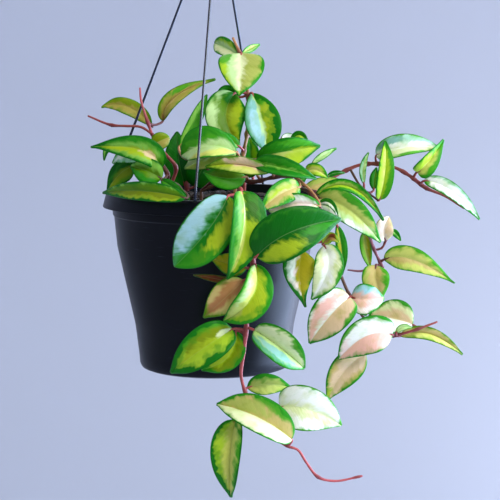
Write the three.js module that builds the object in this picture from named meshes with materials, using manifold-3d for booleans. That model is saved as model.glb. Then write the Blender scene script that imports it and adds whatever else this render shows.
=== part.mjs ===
// Potted tricolor wax plant in a black plastic hanging pot with a three-strand hanger.
// Millimetres, +Z up. The origin is the point of the hook that bears on the rail.
// Shapes are drawn about the pot: its axis is x = y = 0, its rim's top face z = 0, and -Y faces the viewer.
import * as THREE from "three";
import { mergeVertices } from "three/addons/utils/BufferGeometryUtils.js";
import Module from "manifold-3d";

const wasm = await Module();
wasm.setup();

// Driving dimensions of the pot
const rimRadius = 75;
const rimTopRadius = 72.7;
const skirtHeight = 9.5;
const wall = 1.8;
const skirtWall = 1.4;
const potHeight = 118.6;
const baseCorner = 3.5;
// Outside of the pot's body from under the rim to the foot: radius, then depth below the rim's top
const bodyOutline = [
  [68.6, 10],
  [68.3, 15],
  [67.5, 15.6],
  [65.5, 36],
  [53.8, 89],
  [51.2, 110],
];
const potSides = 36;
const drainHoles = 5;
const drainRadius = 4;
const drainCircle = 33;
const clearance = 0.3;

// Driving dimensions of the potting mix
const soilCentre = 1.5;
const soilEdge = 9;
const rootDepth = 16;
const rootRadius = 1.9;
const holeRadius = 2.5;

// Driving dimensions of the hanger
const strandRadius = 0.85;
const strandCircle = 70.6;
const flangeHole = 1.3;
const buttonRadius = 1.25;
const buttonHeight = 1.6;
const hubHeight = 180;
const hubLean = 2.4;
const hubRadius = 7;
const hubBody = 13;
const hubCircle = 3.4;
const hookRadius = 12;
const hookWire = 2.1;
const hookRise = 19;
const strandAzimuths = { strand_left: 189, strand_front: 261.2, strand_back: 62 };

// Driving dimensions of the plant
const bladeThickness = 1.8;
const rimThickness = 1.0;
const stemRadius = 1.6;
const tendrilRadius = 1.05;
const stemStep = 16;
const stalkHalf = 0.9;
const longStalk = 4;
const stalkBow = 0.12;
const edgeWaves = 1.6;
const broadLeaf = { half: 9, stations: [0, 0.14, 0.36, 0.6, 0.82, 1] };
const middleLeaf = { half: 5, stations: [0, 0.2, 0.46, 0.76, 1] };
const slimLeaf = { stations: [0, 0.32, 0.7, 1] };
const bladeEdges = [-1, 0, 1];
const leastHalf = 0.8;
const scrap = 1;

// The view that the plant's points are measured in: where the eye is, how far it looks down, how far off the
// plane through the pot's axis is, and what one pixel covers there. A point is three numbers: its pixel
// across, its pixel down, and how many millimetres it is nearer than that plane.
const view = {
  eye: new THREE.Vector3(23.9, -1150, 98.5),
  down: 6.85,
  distance: 1154,
  pixel: 0.6727,
  middle: 250,
};
const down = THREE.MathUtils.degToRad(view.down);
const forward = new THREE.Vector3(0, Math.cos(down), -Math.sin(down));
const upward = new THREE.Vector3(0, Math.sin(down), Math.cos(down));
const sideways = new THREE.Vector3(1, 0, 0);
const toViewer = forward.clone().negate();

function seen(pixelX, pixelY, near) {
  const share = (view.distance - near) / view.distance;
  return view.eye
    .clone()
    .addScaledVector(forward, view.distance - near)
    .addScaledVector(sideways, (pixelX - view.middle) * view.pixel * share)
    .addScaledVector(upward, (view.middle - pixelY) * view.pixel * share);
}

function around(radius, azimuth, z) {
  const angle = THREE.MathUtils.degToRad(azimuth);
  return new THREE.Vector3(radius * Math.cos(angle), radius * Math.sin(angle), z);
}

// Closed geometry and solids

function toSolid(geometry) {
  const bare = geometry.index ? geometry.toNonIndexed() : geometry.clone();
  bare.deleteAttribute("normal");
  bare.deleteAttribute("uv");
  const merged = mergeVertices(bare, 1e-4);
  return new wasm.Manifold(
    new wasm.Mesh({
      numProp: 3,
      vertProperties: new Float32Array(merged.attributes.position.array),
      triVerts: new Uint32Array(merged.index.array),
    }),
  );
}

function toGeometry(solid) {
  const mesh = solid.getMesh();
  const geometry = new THREE.BufferGeometry();
  geometry.setAttribute("position", new THREE.BufferAttribute(new Float32Array(mesh.vertProperties), 3));
  geometry.setIndex(new THREE.BufferAttribute(new Uint32Array(mesh.triVerts), 1));
  geometry.computeVertexNormals();
  return geometry;
}

function lathe(profile, sides) {
  const points = profile.map(([radius, z]) => new THREE.Vector2(radius, z));
  const geometry = new THREE.LatheGeometry(points, sides);
  geometry.rotateX(Math.PI / 2);
  return geometry;
}

function rod(from, to, radius, sides) {
  const span = to.clone().sub(from);
  const geometry = new THREE.CylinderGeometry(radius, radius, span.length(), sides);
  const cylinderAxis = new THREE.Vector3(0, 1, 0);
  geometry.applyQuaternion(new THREE.Quaternion().setFromUnitVectors(cylinderAxis, span.clone().normalize()));
  const middle = from.clone().add(to).multiplyScalar(0.5);
  geometry.translate(middle.x, middle.y, middle.z);
  return geometry;
}

function tube(curve, radius, sides, steps) {
  const corners = [];
  for (let i = 0; i < sides; i += 1) {
    const angle = (2 * Math.PI * i) / sides;
    corners.push(new THREE.Vector2(radius * Math.cos(angle), radius * Math.sin(angle)));
  }
  const section = new THREE.Shape(corners);
  return new THREE.ExtrudeGeometry(section, { steps, extrudePath: curve, bevelEnabled: false });
}

// One leaf: a fleshy blade round a curved midrib from base to tip. half is the half width in millimetres.
// lift is how far each half is raised out of the plane that faces the viewer, in degrees: first the half on
// the right of the midrib as it runs from base to tip, then the left. widest is where along the midrib it is
// broadest, full is how quickly its ends taper, and wave is the height of the waves in its edge.
const plainForm = { widest: 0.42, full: 0.68, wave: 0, facing: toViewer };

function leaf(base, middle, tip, half, lift, form) {
  return { ...plainForm, rib: [seen(...base), seen(...middle), seen(...tip)], half, lift, ...form };
}

function midrib({ rib }) {
  const [base, middle, tip] = rib;
  const bend = middle.clone().multiplyScalar(2).addScaledVector(base, -0.5).addScaledVector(tip, -0.5);
  return new THREE.QuadraticBezierCurve3(base, bend, tip);
}

function bladeShape(u, plan) {
  const { half, widest, full } = plan;
  const rise = (u / widest) ** full;
  const fall = ((1 - u) / (1 - widest)) ** ((full * (1 - widest)) / widest);
  return leastHalf + (half - leastHalf) * rise * fall;
}

function bladePoint(curve, u, v, plan) {
  const along = curve.getTangent(u);
  const facing = plan.facing.clone();
  facing.addScaledVector(along, -facing.dot(along)).normalize();
  const across = along.clone().cross(facing);
  const lift = THREE.MathUtils.degToRad(v > 0 ? plan.lift[0] : plan.lift[1]) * (1.15 - 0.3 * Math.abs(v));
  const reach = bladeShape(u, plan) * Math.abs(v);
  const ripple = plan.wave * v * v * Math.sin(2 * Math.PI * (edgeWaves * u + (v > 0 ? 0.1 : 0.45)));
  return curve
    .getPoint(u)
    .addScaledVector(across, Math.sign(v) * reach * Math.cos(lift))
    .addScaledVector(facing, reach * Math.sin(lift) + ripple);
}

function bladeNormal(curve, u, v, plan) {
  const step = 0.02;
  const low = Math.max(u - step, 0);
  const high = Math.min(u + step, 1);
  const alongEdge = bladePoint(curve, high, v, plan).sub(bladePoint(curve, low, v, plan));
  const acrossEdge = bladePoint(curve, u, v + step, plan).sub(bladePoint(curve, u, v - step, plan));
  return acrossEdge.cross(alongEdge).normalize();
}

// The stalk's cross-sections run from the stem to the blade's base, each turned with the stalk's direction
function stalkSections(plan, curves) {
  const rib = midrib(plan);
  const base = plan.rib[0];
  const { gap, point } = nearestOn(curves, base);
  const away = base.clone().sub(point).normalize();
  const points = [point.clone().addScaledVector(away, -stalkHalf)];
  const outward = rib.getTangent(0);
  if (gap > longStalk) points.push(point.clone().lerp(base, 0.5).addScaledVector(outward, -stalkBow * gap));
  points.push(base);
  const across = bladePoint(rib, 0, 1, plan).sub(bladePoint(rib, 0, -1, plan)).normalize();
  const raised = bladeNormal(rib, 0, 0, plan);
  const sections = [];
  for (let i = 0; i < points.length - 1; i += 1) {
    const heading = points[i + 1].clone().sub(points[i]).normalize();
    const turn = new THREE.Quaternion().setFromUnitVectors(outward, heading);
    const [wide, deep] = [across.clone().applyQuaternion(turn), raised.clone().applyQuaternion(turn)];
    const section = (side, v) =>
      points[i].clone().addScaledVector(wide, v * stalkHalf).addScaledVector(deep, side * bladeDepth(v));
    sections.push(section);
  }
  return sections;
}

function bladeDepth(v) {
  return (bladeThickness + (rimThickness - bladeThickness) * Math.abs(v)) / 2;
}

function bladeStations(plan) {
  if (plan.half >= broadLeaf.half) return broadLeaf.stations;
  return plan.half >= middleLeaf.half ? middleLeaf.stations : slimLeaf.stations;
}

// A leaf's closed skin: the same ring of points, front face then back, at each section from stem to tip
function leafSolid(plan, curves) {
  const rib = midrib(plan);
  const sections = stalkSections(plan, curves);
  for (const u of bladeStations(plan)) {
    sections.push((side, v) =>
      bladePoint(rib, u, v, plan).addScaledVector(bladeNormal(rib, u, v, plan), side * bladeDepth(v)),
    );
  }
  const columns = bladeEdges.length;
  const rows = sections.length;
  const positions = [];
  for (const side of [1, -1]) {
    for (const section of sections) {
      for (const v of bladeEdges) positions.push(...section(side, v).toArray());
    }
  }
  const sheet = rows * columns;
  const triangles = [];
  const quad = (a, b, c, d) => triangles.push(a, b, d, b, c, d);
  for (let i = 0; i < rows - 1; i += 1) {
    for (let j = 0; j < columns - 1; j += 1) {
      const a = i * columns + j;
      const [b, c, d] = [a + 1, a + 1 + columns, a + columns];
      quad(a, b, c, d);
      triangles.push(sheet + a, sheet + d, sheet + b, sheet + b, sheet + d, sheet + c);
    }
    const low = i * columns;
    const high = low + columns - 1;
    quad(low + columns, sheet + low + columns, sheet + low, low);
    quad(high, sheet + high, sheet + high + columns, high + columns);
  }
  for (let j = 0; j < columns - 1; j += 1) {
    const top = (rows - 1) * columns + j;
    quad(j, sheet + j, sheet + j + 1, j + 1);
    quad(top + 1, sheet + top + 1, sheet + top, top);
  }
  const geometry = new THREE.BufferGeometry();
  geometry.setAttribute("position", new THREE.Float32BufferAttribute(positions, 3));
  geometry.setIndex(triangles);
  return toSolid(geometry);
}

function stemSteps(curve) {
  return Math.max(3, Math.round(curve.getLength() / stemStep));
}

function nearestOn(curves, point) {
  let best = null;
  for (const curve of curves) {
    const line = curve.getSpacedPoints(stemSteps(curve));
    for (let i = 1; i < line.length; i += 1) {
      const candidate = new THREE.Vector3();
      new THREE.Line3(line[i - 1], line[i]).closestPointToPoint(point, true, candidate);
      const gap = candidate.distanceTo(point);
      if (best === null || gap < best.gap) best = { gap, point: candidate };
    }
  }
  return best;
}

// One vine: its root in the mix, its stems, and its leaves on their stalks
function vine(plan) {
  const curves = plan.stems.map((stem) => new THREE.CatmullRomCurve3(stem.points));
  const solids = [];
  plan.stems.forEach((stem, index) => {
    const sides = stem.radius ? 4 : 5;
    solids.push(toSolid(tube(curves[index], stem.radius ?? stemRadius, sides, stemSteps(curves[index]))));
  });
  const start = plan.stems[0].points[0];
  const foot = new THREE.Vector3(start.x, start.y, -rootDepth);
  const neck = new THREE.Vector3(start.x, start.y, start.z + 1.5);
  solids.push(toSolid(rod(foot, neck, rootRadius, 6)));
  for (const blade of plan.leaves) solids.push(leafSolid(blade, curves));
  const bodies = wasm.Manifold.union(solids).decompose();
  return wasm.Manifold.union(bodies.filter((body) => body.volume() > scrap));
}

// A root stands upright in the mix, a little above its surface, at x, y
function root(x, y) {
  return new THREE.Vector3(x, y, 3);
}

const crownVine = {
  stems: [
    {
      points: [
        root(14, -14),
        seen(242, 166, 19),
        seen(244, 150, 17),
        seen(247, 134, 12),
        seen(248, 96, 4),
        seen(241, 57, 4),
        seen(233, 38, 2),
      ],
    },
  ],
  leaves: [
    leaf([241, 53, 5], [241, 74, 20], [239, 96, 28], 15.8, [14, 6], { widest: 0.3, full: 0.4 }),
    leaf([240, 57, 3], [227, 48, -6], [214, 43, -18], 7, [40, 20], { widest: 0.6 }),
    leaf([242, 54, 2], [250, 50, -8], [260, 44, -16], 3.8, [60, 50]),
    leaf([235, 93, 9], [226, 118, 18], [240, 147, 20], 14.5, [15, 15], { full: 0.6 }),
    leaf([252, 93, 12], [262, 121, 22], [267, 153, 24], 12.8, [32, 12], { widest: 0.56, full: 0.85 }),
    leaf([238, 97, 2], [226, 90, 2], [216, 97, 6], 4, [30, 30]),
    leaf([240, 147, 23], [226, 139, 29], [213, 134, 31], 4.5, [10, 10]),
  ],
};

const centreVine = {
  stems: [
    {
      points: [
        root(-8, -30),
        seen(236, 178, 44),
        seen(252, 182, 54),
        seen(275, 177, 60),
        seen(292, 176, 60),
        seen(306, 172, 52),
      ],
    },
    {
      points: [seen(236, 178, 44), seen(240, 160, 40), seen(260, 160, 36), seen(290, 146, 30)],
      radius: tendrilRadius,
    },
    { points: [root(-8, -30), seen(214, 176, 40), seen(190, 160, 26)], radius: tendrilRadius },
  ],
  leaves: [
    leaf([237, 153, 46], [208, 146, 50], [181, 156, 40], 13.6, [10, 64], { widest: 0.58, full: 0.85 }),
    leaf([236, 151, 40], [212, 156, 44], [184, 169, 38], 10, [20, 45], { full: 0.6 }),
    leaf([179, 147, 10], [195, 121, 8], [207, 94, 2], 4.6, [20, 20], { widest: 0.5 }),
    leaf([271, 172, 64], [236, 164, 67], [205, 167, 65], 7.2, [55, 40]),
    leaf([254, 163, 62], [286, 169, 68], [317, 179, 62], 8, [58, 30], { widest: 0.36, full: 0.6 }),
    leaf([246, 177, 56], [224, 178, 62], [203, 172, 60], 7.8, [10, 15]),
    leaf([300, 187, 66], [281, 194, 77], [259, 212, 85], 8.2, [15, 25], { full: 0.6 }),
    leaf([320, 206, 74], [295, 204, 74], [268, 211, 68], 7.4, [10, 30], { widest: 0.6 }),
    leaf([291, 187, 60], [299, 182, 60], [307, 177, 58], 3, [10, 10]),
    leaf([257, 159, 42], [283, 151, 46], [321, 146, 38], 11.5, [5, 56], { widest: 0.52, full: 0.9 }),
    leaf([291, 142, 27], [300, 135, 29], [309, 146, 30], 3.4, [30, 30]),
    leaf([281, 139, 20], [289, 137, 18], [298, 139, 18], 3, [20, 20]),
    leaf([312, 164, 42], [324, 155, 40], [337, 148, 36], 2.6, [30, 30]),
    leaf([306, 172, 50], [316, 170, 54], [328, 178, 54], 4.8, [30, 20], { full: 0.5 }),
  ],
};

const frontVine = {
  stems: [
    {
      points: [
        root(16, -50),
        seen(241, 189, 76),
        seen(243, 197, 84),
        seen(248, 225, 88),
        seen(253, 262, 87),
        seen(250, 296, 84),
        seen(246, 330, 82),
        seen(244, 352, 80),
        seen(241, 374, 78),
        seen(246, 394, 76),
        seen(258, 416, 74),
        seen(274, 438, 74),
        seen(290, 447, 74),
      ],
    },
    {
      points: [
        seen(290, 447, 74),
        seen(298, 450, 74),
        seen(306, 462, 74),
        seen(318, 477, 74),
        seen(335, 481, 72),
        seen(362, 476, 70),
      ],
      radius: tendrilRadius,
    },
  ],
  leaves: [
    leaf([228, 196, 87], [208, 230, 95], [174, 267, 90], 16, [20, 15], { widest: 0.54, full: 0.5 }),
    leaf([241, 191, 90], [243, 230, 96], [227, 280, 92], 14.5, [72, -8], { full: 0.5 }),
    leaf([256, 257, 96], [291, 232, 105], [342, 219, 92], 15.8, [15, 12], { full: 0.5 }),
    leaf([255, 264, 88], [252, 297, 97], [223, 321, 90], 12.5, [58, 10], { widest: 0.52 }),
    leaf([244, 280, 83], [225, 298, 84], [203, 318, 78], 10.6, [20, 20]),
    leaf([247, 268, 82], [230, 264, 80], [211, 258, 76], 7.5, [10, 10]),
    leaf([240, 284, 80], [217, 279, 76], [193, 275, 74], 2.6, [10, 10]),
    leaf([233, 329, 82], [203, 349, 86], [170, 373, 78], 13.5, [8, 46], { full: 0.5 }),
    leaf([236, 331, 78], [228, 357, 80], [201, 370, 74], 8.6, [15, 15]),
    leaf([254, 330, 84], [278, 346, 88], [305, 369, 82], 14, [60, 44], { widest: 0.5, full: 0.62 }),
    leaf([247, 388, 72], [268, 384, 70], [292, 388, 64], 7, [10, 10]),
    leaf([279, 407, 72], [308, 409, 76], [342, 426, 66], 14.8, [15, 15], { widest: 0.4, full: 0.46 }),
    leaf([292, 440, 78], [256, 417, 88], [216, 404, 82], 14.8, [18, 70], { widest: 0.45, full: 0.62 }),
    leaf([236, 419, 76], [231, 456, 84], [231, 498, 76], 13.4, [8, 76], { full: 0.6 }),
  ],
};

const hangingVine = {
  stems: [
    {
      points: [
        root(44, -32),
        seen(300, 188, 54),
        seen(312, 195, 66),
        seen(322, 212, 70),
        seen(326, 240, 66),
        seen(338, 268, 60),
        seen(350, 296, 58),
        seen(366, 320, 56),
        seen(382, 332, 56),
        seen(394, 336, 56),
      ],
    },
    { points: [seen(394, 336, 56), seen(412, 331, 58), seen(437, 322, 56)], radius: tendrilRadius },
  ],
  leaves: [
    leaf([303, 250, 74], [299, 276, 76], [306, 308, 66], 11, [20, 5], { widest: 0.3, full: 0.6 }),
    leaf([324, 245, 74], [328, 271, 80], [311, 300, 74], 9.6, [15, 15], { full: 0.5 }),
    leaf([337, 225, 72], [342, 250, 64], [342, 276, 56], 4, [20, 20]),
    leaf([323, 244, 80], [331, 237, 84], [339, 243, 86], 4, [20, 35]),
    leaf([350, 297, 64], [331, 315, 70], [309, 344, 62], 14.2, [22, 42], { full: 0.55 }),
    leaf([351, 297, 60], [366, 299, 62], [385, 298, 54], 10.4, [10, 20], { full: 0.55 }),
    leaf([413, 325, 44], [392, 319, 42], [368, 316, 38], 13.6, [8, 58], { full: 0.55 }),
    leaf([393, 335, 60], [366, 336, 66], [338, 360, 60], 12.8, [24, 22], { full: 0.5 }),
    leaf([366, 353, 52], [344, 372, 54], [327, 401, 48], 10.4, [15, 15], { widest: 0.4, full: 0.6 }),
    leaf([400, 336, 52], [430, 334, 50], [463, 355, 42], 5.4, [45, 40], { full: 0.6 }),
    leaf([352, 303, 52], [359, 309, 50], [367, 316, 46], 3, [10, 10]),
    leaf([396, 333, 60], [403, 327, 61], [412, 328, 60], 2.4, [30, 30]),
  ],
};

const violetVine = {
  stems: [
    {
      points: [
        root(46, -12),
        seen(303, 189, 30),
        seen(316, 193, 42),
        seen(334, 208, 46),
        seen(352, 222, 38),
        seen(368, 234, 32),
        seen(374, 249, 30),
        seen(380, 262, 30),
        seen(383, 268, 30),
      ],
    },
    { points: [seen(380, 265, 30), seen(362, 271, 28), seen(348, 270, 26)], radius: tendrilRadius },
    { points: [seen(375, 250, 30), seen(382, 248, 30), seen(386, 240, 30)], radius: tendrilRadius },
  ],
  leaves: [
    leaf([304, 191, 36], [326, 184, 36], [352, 186, 32], 5, [10, 10], { full: 0.55 }),
    leaf([316, 195, 47], [350, 187, 47], [384, 221, 40], 5.6, [60, 50], { full: 0.55 }),
    leaf([318, 198, 50], [349, 210, 58], [381, 243, 46], 9.8, [22, 15], { full: 0.55 }),
    leaf([319, 204, 58], [330, 203, 64], [338, 217, 64], 2.8, [25, 25]),
    leaf([386, 241, 30], [384, 229, 34], [389, 216, 30], 6.6, [15, 15], { full: 0.45 }),
    leaf([391, 230, 28], [396, 234, 27], [401, 241, 26], 2.4, [15, 15]),
    leaf([364, 231, 28], [366, 250, 26], [370, 268, 24], 4.3, [25, 25], { full: 0.6 }),
    leaf([385, 259, 32], [415, 260, 36], [455, 284, 28], 8.6, [5, 28], {
      widest: 0.36,
      full: 0.66,
      wave: 0.7,
    }),
    leaf([376, 265, 34], [376, 281, 38], [382, 299, 32], 9.3, [12, 12], { full: 0.45 }),
  ],
};

const archedVine = {
  stems: [
    {
      points: [
        root(50, 10),
        seen(318, 184, 6),
        seen(345, 171, 4),
        seen(360, 165, 4),
        seen(380, 164, 6),
        seen(396, 168, 6),
        seen(410, 176, 6),
        seen(426, 188, 6),
        seen(445, 196, 6),
        seen(464, 208, 6),
      ],
    },
    { points: [seen(350, 169, 4), seen(362, 188, 10), seen(378, 200, 16)], radius: tendrilRadius },
  ],
  leaves: [
    leaf([376, 156, 8], [405, 147, 14], [441, 148, 6], 9.6, [60, 20], { widest: 0.4, full: 0.6 }),
    leaf([379, 200, 18], [385, 172, 24], [385, 140, 16], 6.6, [20, 50], { full: 0.5 }),
    leaf([417, 172, 10], [428, 162, 14], [444, 139, 8], 7.8, [15, 60], { widest: 0.36, full: 0.5 }),
    leaf([424, 181, 12], [451, 191, 14], [480, 220, 4], 6.0, [40, 15], { full: 0.55 }),
    leaf([364, 184, 16], [363, 167, 18], [369, 152, 14], 2.5, [20, 20]),
    leaf([374, 190, 10], [374, 178, 8], [377, 167, 6], 3.2, [10, 10]),
    leaf([327, 177, 12], [335, 173, 12], [345, 173, 12], 2, [20, 20]),
  ],
};

const tallLeftVine = {
  stems: [
    {
      points: [root(-30, -8), seen(176, 168, 12), seen(168, 157, 14), seen(158, 146, 16), seen(152, 134, 18)],
    },
    {
      points: [seen(152, 134, 18), seen(146, 117, 18), seen(141, 100, 18), seen(140, 88, 18)],
      radius: tendrilRadius,
    },
    {
      points: [
        seen(152, 134, 18),
        seen(141, 127, 18),
        seen(126, 126, 18),
        seen(111, 125, 16),
        seen(88, 116, 14),
      ],
      radius: tendrilRadius,
    },
  ],
  leaves: [
    leaf([151, 125, -8], [127, 107, -12], [101, 107, -12], 6.4, [10, 40], { full: 0.6, wave: 1.4 }),
    leaf([163, 121, 10], [175, 97, 14], [216, 79, 8], 6.8, [50, 45], { full: 0.8 }),
    leaf([153, 145, 22], [160, 141, 24], [170, 137, 22], 6, [10, 10], { widest: 0.5, full: 0.45 }),
  ],
};

const lowLeftVine = {
  stems: [
    {
      points: [
        root(-34, -30),
        seen(168, 176, 42),
        seen(162, 166, 44),
        seen(150, 162, 44),
        seen(138, 164, 40),
      ],
    },
    { points: [root(-34, -30), seen(176, 184, 50), seen(184, 192, 66)], radius: tendrilRadius },
  ],
  leaves: [
    leaf([161, 168, 46], [140, 150, 52], [90, 147, 40], 9.4, [14, 40], { widest: 0.44, full: 0.7 }),
    leaf([141, 161, 40], [127, 155, 42], [112, 164, 34], 5.6, [10, 20]),
    leaf([121, 147, 34], [109, 146, 32], [104, 161, 28], 3, [20, 20]),
    leaf([135, 166, 36], [121, 173, 36], [107, 191, 30], 7.6, [15, 15]),
    leaf([162, 179, 50], [147, 171, 52], [130, 166, 47], 9, [20, 20], { full: 0.6 }),
    leaf([186, 198, 82], [142, 191, 70], [102, 193, 36], 6.6, [25, 20], { full: 0.55 }),
    leaf([161, 180, 52], [174, 188, 62], [189, 199, 76], 3.6, [20, 20]),
  ],
};

// Vines over the far side of the rim: leaves that stand over the mix and are seen from the front, and a stem
// over the rim and down, with pairs of leaves at even steps that grow smaller downward. The size, height and
// turn of these pairs sway a little, as grown ones do.
const standingLeft = [
  leaf([185, 186, -42], [179, 160, -40], [177, 131, -44], 10.5, [20, 15], { full: 0.5 }),
  leaf([194, 187, -42], [202, 169, -38], [212, 150, -42], 10.5, [15, 20], { full: 0.5 }),
];
const standingRight = [
  leaf([242, 178, -44], [233, 166, -40], [222, 150, -44], 9.5, [20, 15], { full: 0.55 }),
  leaf([246, 178, -44], [250, 158, -36], [249, 137, -34], 8, [15, 15], { full: 0.55 }),
];

function backVine(azimuth, rootPoint, drift, standing) {
  const outside = 82;
  const pairs = 3;
  const step = 24;
  const points = [rootPoint, around(62, azimuth, 7), around(76, azimuth, 8), around(outside, azimuth, -4)];
  for (let i = 1; i <= pairs; i += 1) {
    points.push(around(outside + 1.5 * i, azimuth + drift * i, -4 - step * i));
  }
  const leaves = [...standing];
  for (let i = 0; i < pairs; i += 1) {
    for (const hand of [1, -1]) {
      const sway = Math.sin(2.3 * i + 1.7 * hand + azimuth);
      const size = 1 - 0.07 * i + 0.06 * sway;
      const turn = azimuth + drift * (i + 0.3);
      const radius = outside + 1.5 * i;
      const z = -10 - step * i - (4 + sway) * hand;
      const start = around(radius + 1, turn + 3 * hand, z);
      const middle = around(radius + 8 + 2 * sway, turn + hand * 8 * size, z - 15 * size);
      const end = around(radius + 11 - sway, turn + hand * (13 + 2 * sway) * size, z - 37 * size);
      const facing = around(1, turn + (8 + 10 * sway) * hand, 0.2 + 0.15 * sway).normalize();
      const rib = [start, middle, end];
      leaves.push({ ...plainForm, rib, half: 11.5 * size, lift: [15, 22], full: 0.55, facing });
    }
  }
  return { stems: [{ points }], leaves };
}

const vines = {
  vine_crown: crownVine,
  vine_centre: centreVine,
  vine_front: frontVine,
  vine_hanging_right: hangingVine,
  vine_violet_right: violetVine,
  vine_arched_right: archedVine,
  vine_left_tall: tallLeftVine,
  vine_left_low: lowLeftVine,
  vine_back_left: backVine(111, root(-20, 42), -1.3, standingLeft),
  vine_back_right: backVine(71, root(20, 44), 1.3, standingRight),
};

// Pot: body, rim flange and skirt turned from one closed profile, with drain and strand holes

function potProfile() {
  const foot = bodyOutline[bodyOutline.length - 1][0] - 0.4;
  const outside = [
    [rimTopRadius - 0.8, 0],
    [rimTopRadius, -0.8],
    [rimRadius, -skirtHeight],
    [rimRadius - skirtWall, -skirtHeight],
    [rimTopRadius - skirtWall + 0.3, -wall],
    [bodyOutline[0][0] + 0.6, -wall],
  ];
  for (const [radius, depth] of bodyOutline) outside.push([radius, -depth]);
  outside.push([foot, -potHeight + baseCorner]);
  outside.push([foot - 1, -potHeight + 1]);
  outside.push([foot - baseCorner, -potHeight]);
  const inside = [[0, -potHeight], [0, -potHeight + wall], [foot - baseCorner, -potHeight + wall]];
  const inner = bodyOutline.map(([radius, depth]) => [radius - wall, -depth]).reverse();
  return [...outside, ...inside, ...inner, [rimTopRadius - 5.6, 0], [rimTopRadius - 0.8, 0]];
}

function pot() {
  const profile = potProfile().reverse();
  let solid = toSolid(lathe(profile, potSides));
  for (let i = 0; i < drainHoles; i += 1) {
    const azimuth = (360 * i) / drainHoles + 18;
    const from = around(drainCircle, azimuth, -potHeight - 2);
    const to = around(drainCircle, azimuth, -potHeight + wall + 2);
    solid = solid.subtract(toSolid(rod(from, to, drainRadius, 8)));
  }
  for (const azimuth of Object.values(strandAzimuths)) {
    const from = around(strandCircle, azimuth, -wall - 2);
    const to = around(strandCircle, azimuth, 2);
    solid = solid.subtract(toSolid(rod(from, to, flangeHole, 8)));
  }
  return toGeometry(solid);
}

// Potting mix: fills the pot with a gap of one clearance, domed on top, with a plain hole for each root

function soil() {
  const gap = wall + clearance;
  const floor = -potHeight + wall + clearance;
  const profile = [[0, floor], [bodyOutline[bodyOutline.length - 1][0] - baseCorner - gap, floor]];
  for (const [radius, depth] of [...bodyOutline].reverse()) profile.push([radius - gap, -depth]);
  const edge = bodyOutline[0][0] - gap;
  profile.push([edge * 0.86, -soilEdge + 1.2], [edge * 0.55, -soilEdge * 0.5], [0, -soilCentre]);
  let solid = toSolid(lathe(profile, potSides));
  for (const plan of Object.values(vines)) {
    const start = plan.stems[0].points[0];
    const from = new THREE.Vector3(start.x, start.y, -rootDepth - 1);
    const to = new THREE.Vector3(start.x, start.y, 12);
    solid = solid.subtract(toSolid(rod(from, to, holeRadius, 8)));
  }
  return toGeometry(solid);
}

// Hanger: strands from a button under the rim flange up into the hub, and the hub with its open hook

const hub = new THREE.Vector3(hubLean, 0, hubHeight);

function strandEnd(azimuth, z) {
  const flange = around(strandCircle, azimuth, 1.5);
  const socket = around(hubCircle, azimuth, 0).add(hub);
  const lean = socket.clone().sub(flange);
  return flange.addScaledVector(lean, (z - 1.5) / lean.z);
}

function strand(azimuth) {
  const foot = around(strandCircle, azimuth, -wall - clearance - buttonHeight);
  const buttonTop = around(strandCircle, azimuth, -wall - clearance);
  const button = toSolid(rod(foot, buttonTop, buttonRadius, 8));
  const neck = toSolid(rod(foot, strandEnd(azimuth, 1.7), strandRadius, 6));
  const run = toSolid(rod(strandEnd(azimuth, 1.1), strandEnd(azimuth, hub.z + 1), strandRadius, 6));
  return toGeometry(wasm.Manifold.union([button, neck, run]));
}

function hookPath() {
  const centre = new THREE.Vector3(hub.x, 0, hub.z + hubBody + hookRise);
  const points = [
    new THREE.Vector3(hub.x, 0, hub.z + hubBody - 3),
    new THREE.Vector3(hub.x, 0, hub.z + hubBody + 3),
    new THREE.Vector3(hub.x - hookRadius * 0.7, 0, centre.z - hookRadius * 0.85),
  ];
  for (let degrees = 180; degrees >= -35; degrees -= 21.5) {
    const angle = THREE.MathUtils.degToRad(degrees);
    const arm = new THREE.Vector3(Math.cos(angle), 0, Math.sin(angle));
    points.push(centre.clone().addScaledVector(arm, hookRadius));
  }
  return new THREE.CatmullRomCurve3(points);
}

function hangerHook() {
  const profile = [
    [0, hub.z - 4],
    [hubRadius * 0.8, hub.z - 4],
    [hubRadius, hub.z - 2],
    [hubRadius, hub.z + 3],
    [hubRadius * 0.5, hub.z + hubBody - 4],
    [hookWire, hub.z + hubBody],
    [0, hub.z + hubBody],
  ];
  const body = lathe(profile, 16);
  body.translate(hub.x, 0, 0);
  let solid = toSolid(body).add(toSolid(tube(hookPath(), hookWire, 6, 18)));
  for (const azimuth of Object.values(strandAzimuths)) {
    const [below, top] = [strandEnd(azimuth, hub.z - 8), strandEnd(azimuth, hub.z + 1.5)];
    solid = solid.subtract(toSolid(rod(below, top, strandRadius + clearance, 8)));
  }
  return toGeometry(solid);
}

// Finishes

const blackPlastic = { color: 0x171a24, roughness: 0.42, metalness: 0 };
const hangerPlastic = { color: 0x12182a, roughness: 0.3, metalness: 0 };
const pottingMix = { color: 0x2a1d16, roughness: 0.95, metalness: 0 };
const leafGreen = { color: 0x6f9a2c, roughness: 0.32, metalness: 0 };

function piece(name, geometry, finish) {
  const mesh = new THREE.Mesh(geometry, new THREE.MeshStandardMaterial(finish));
  mesh.name = name;
  return mesh;
}

const group = new THREE.Group();
group.add(piece("pot", pot(), blackPlastic));
group.add(piece("potting_mix", soil(), pottingMix));
for (const [name, azimuth] of Object.entries(strandAzimuths)) {
  group.add(piece(name, strand(azimuth), hangerPlastic));
}
group.add(piece("hanger_hook", hangerHook(), hangerPlastic));
for (const [name, plan] of Object.entries(vines)) group.add(piece(name, toGeometry(vine(plan)), leafGreen));
group.position.set(-hub.x, 0, -(hub.z + hubBody + hookRise + hookRadius - hookWire));

export default group;
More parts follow.
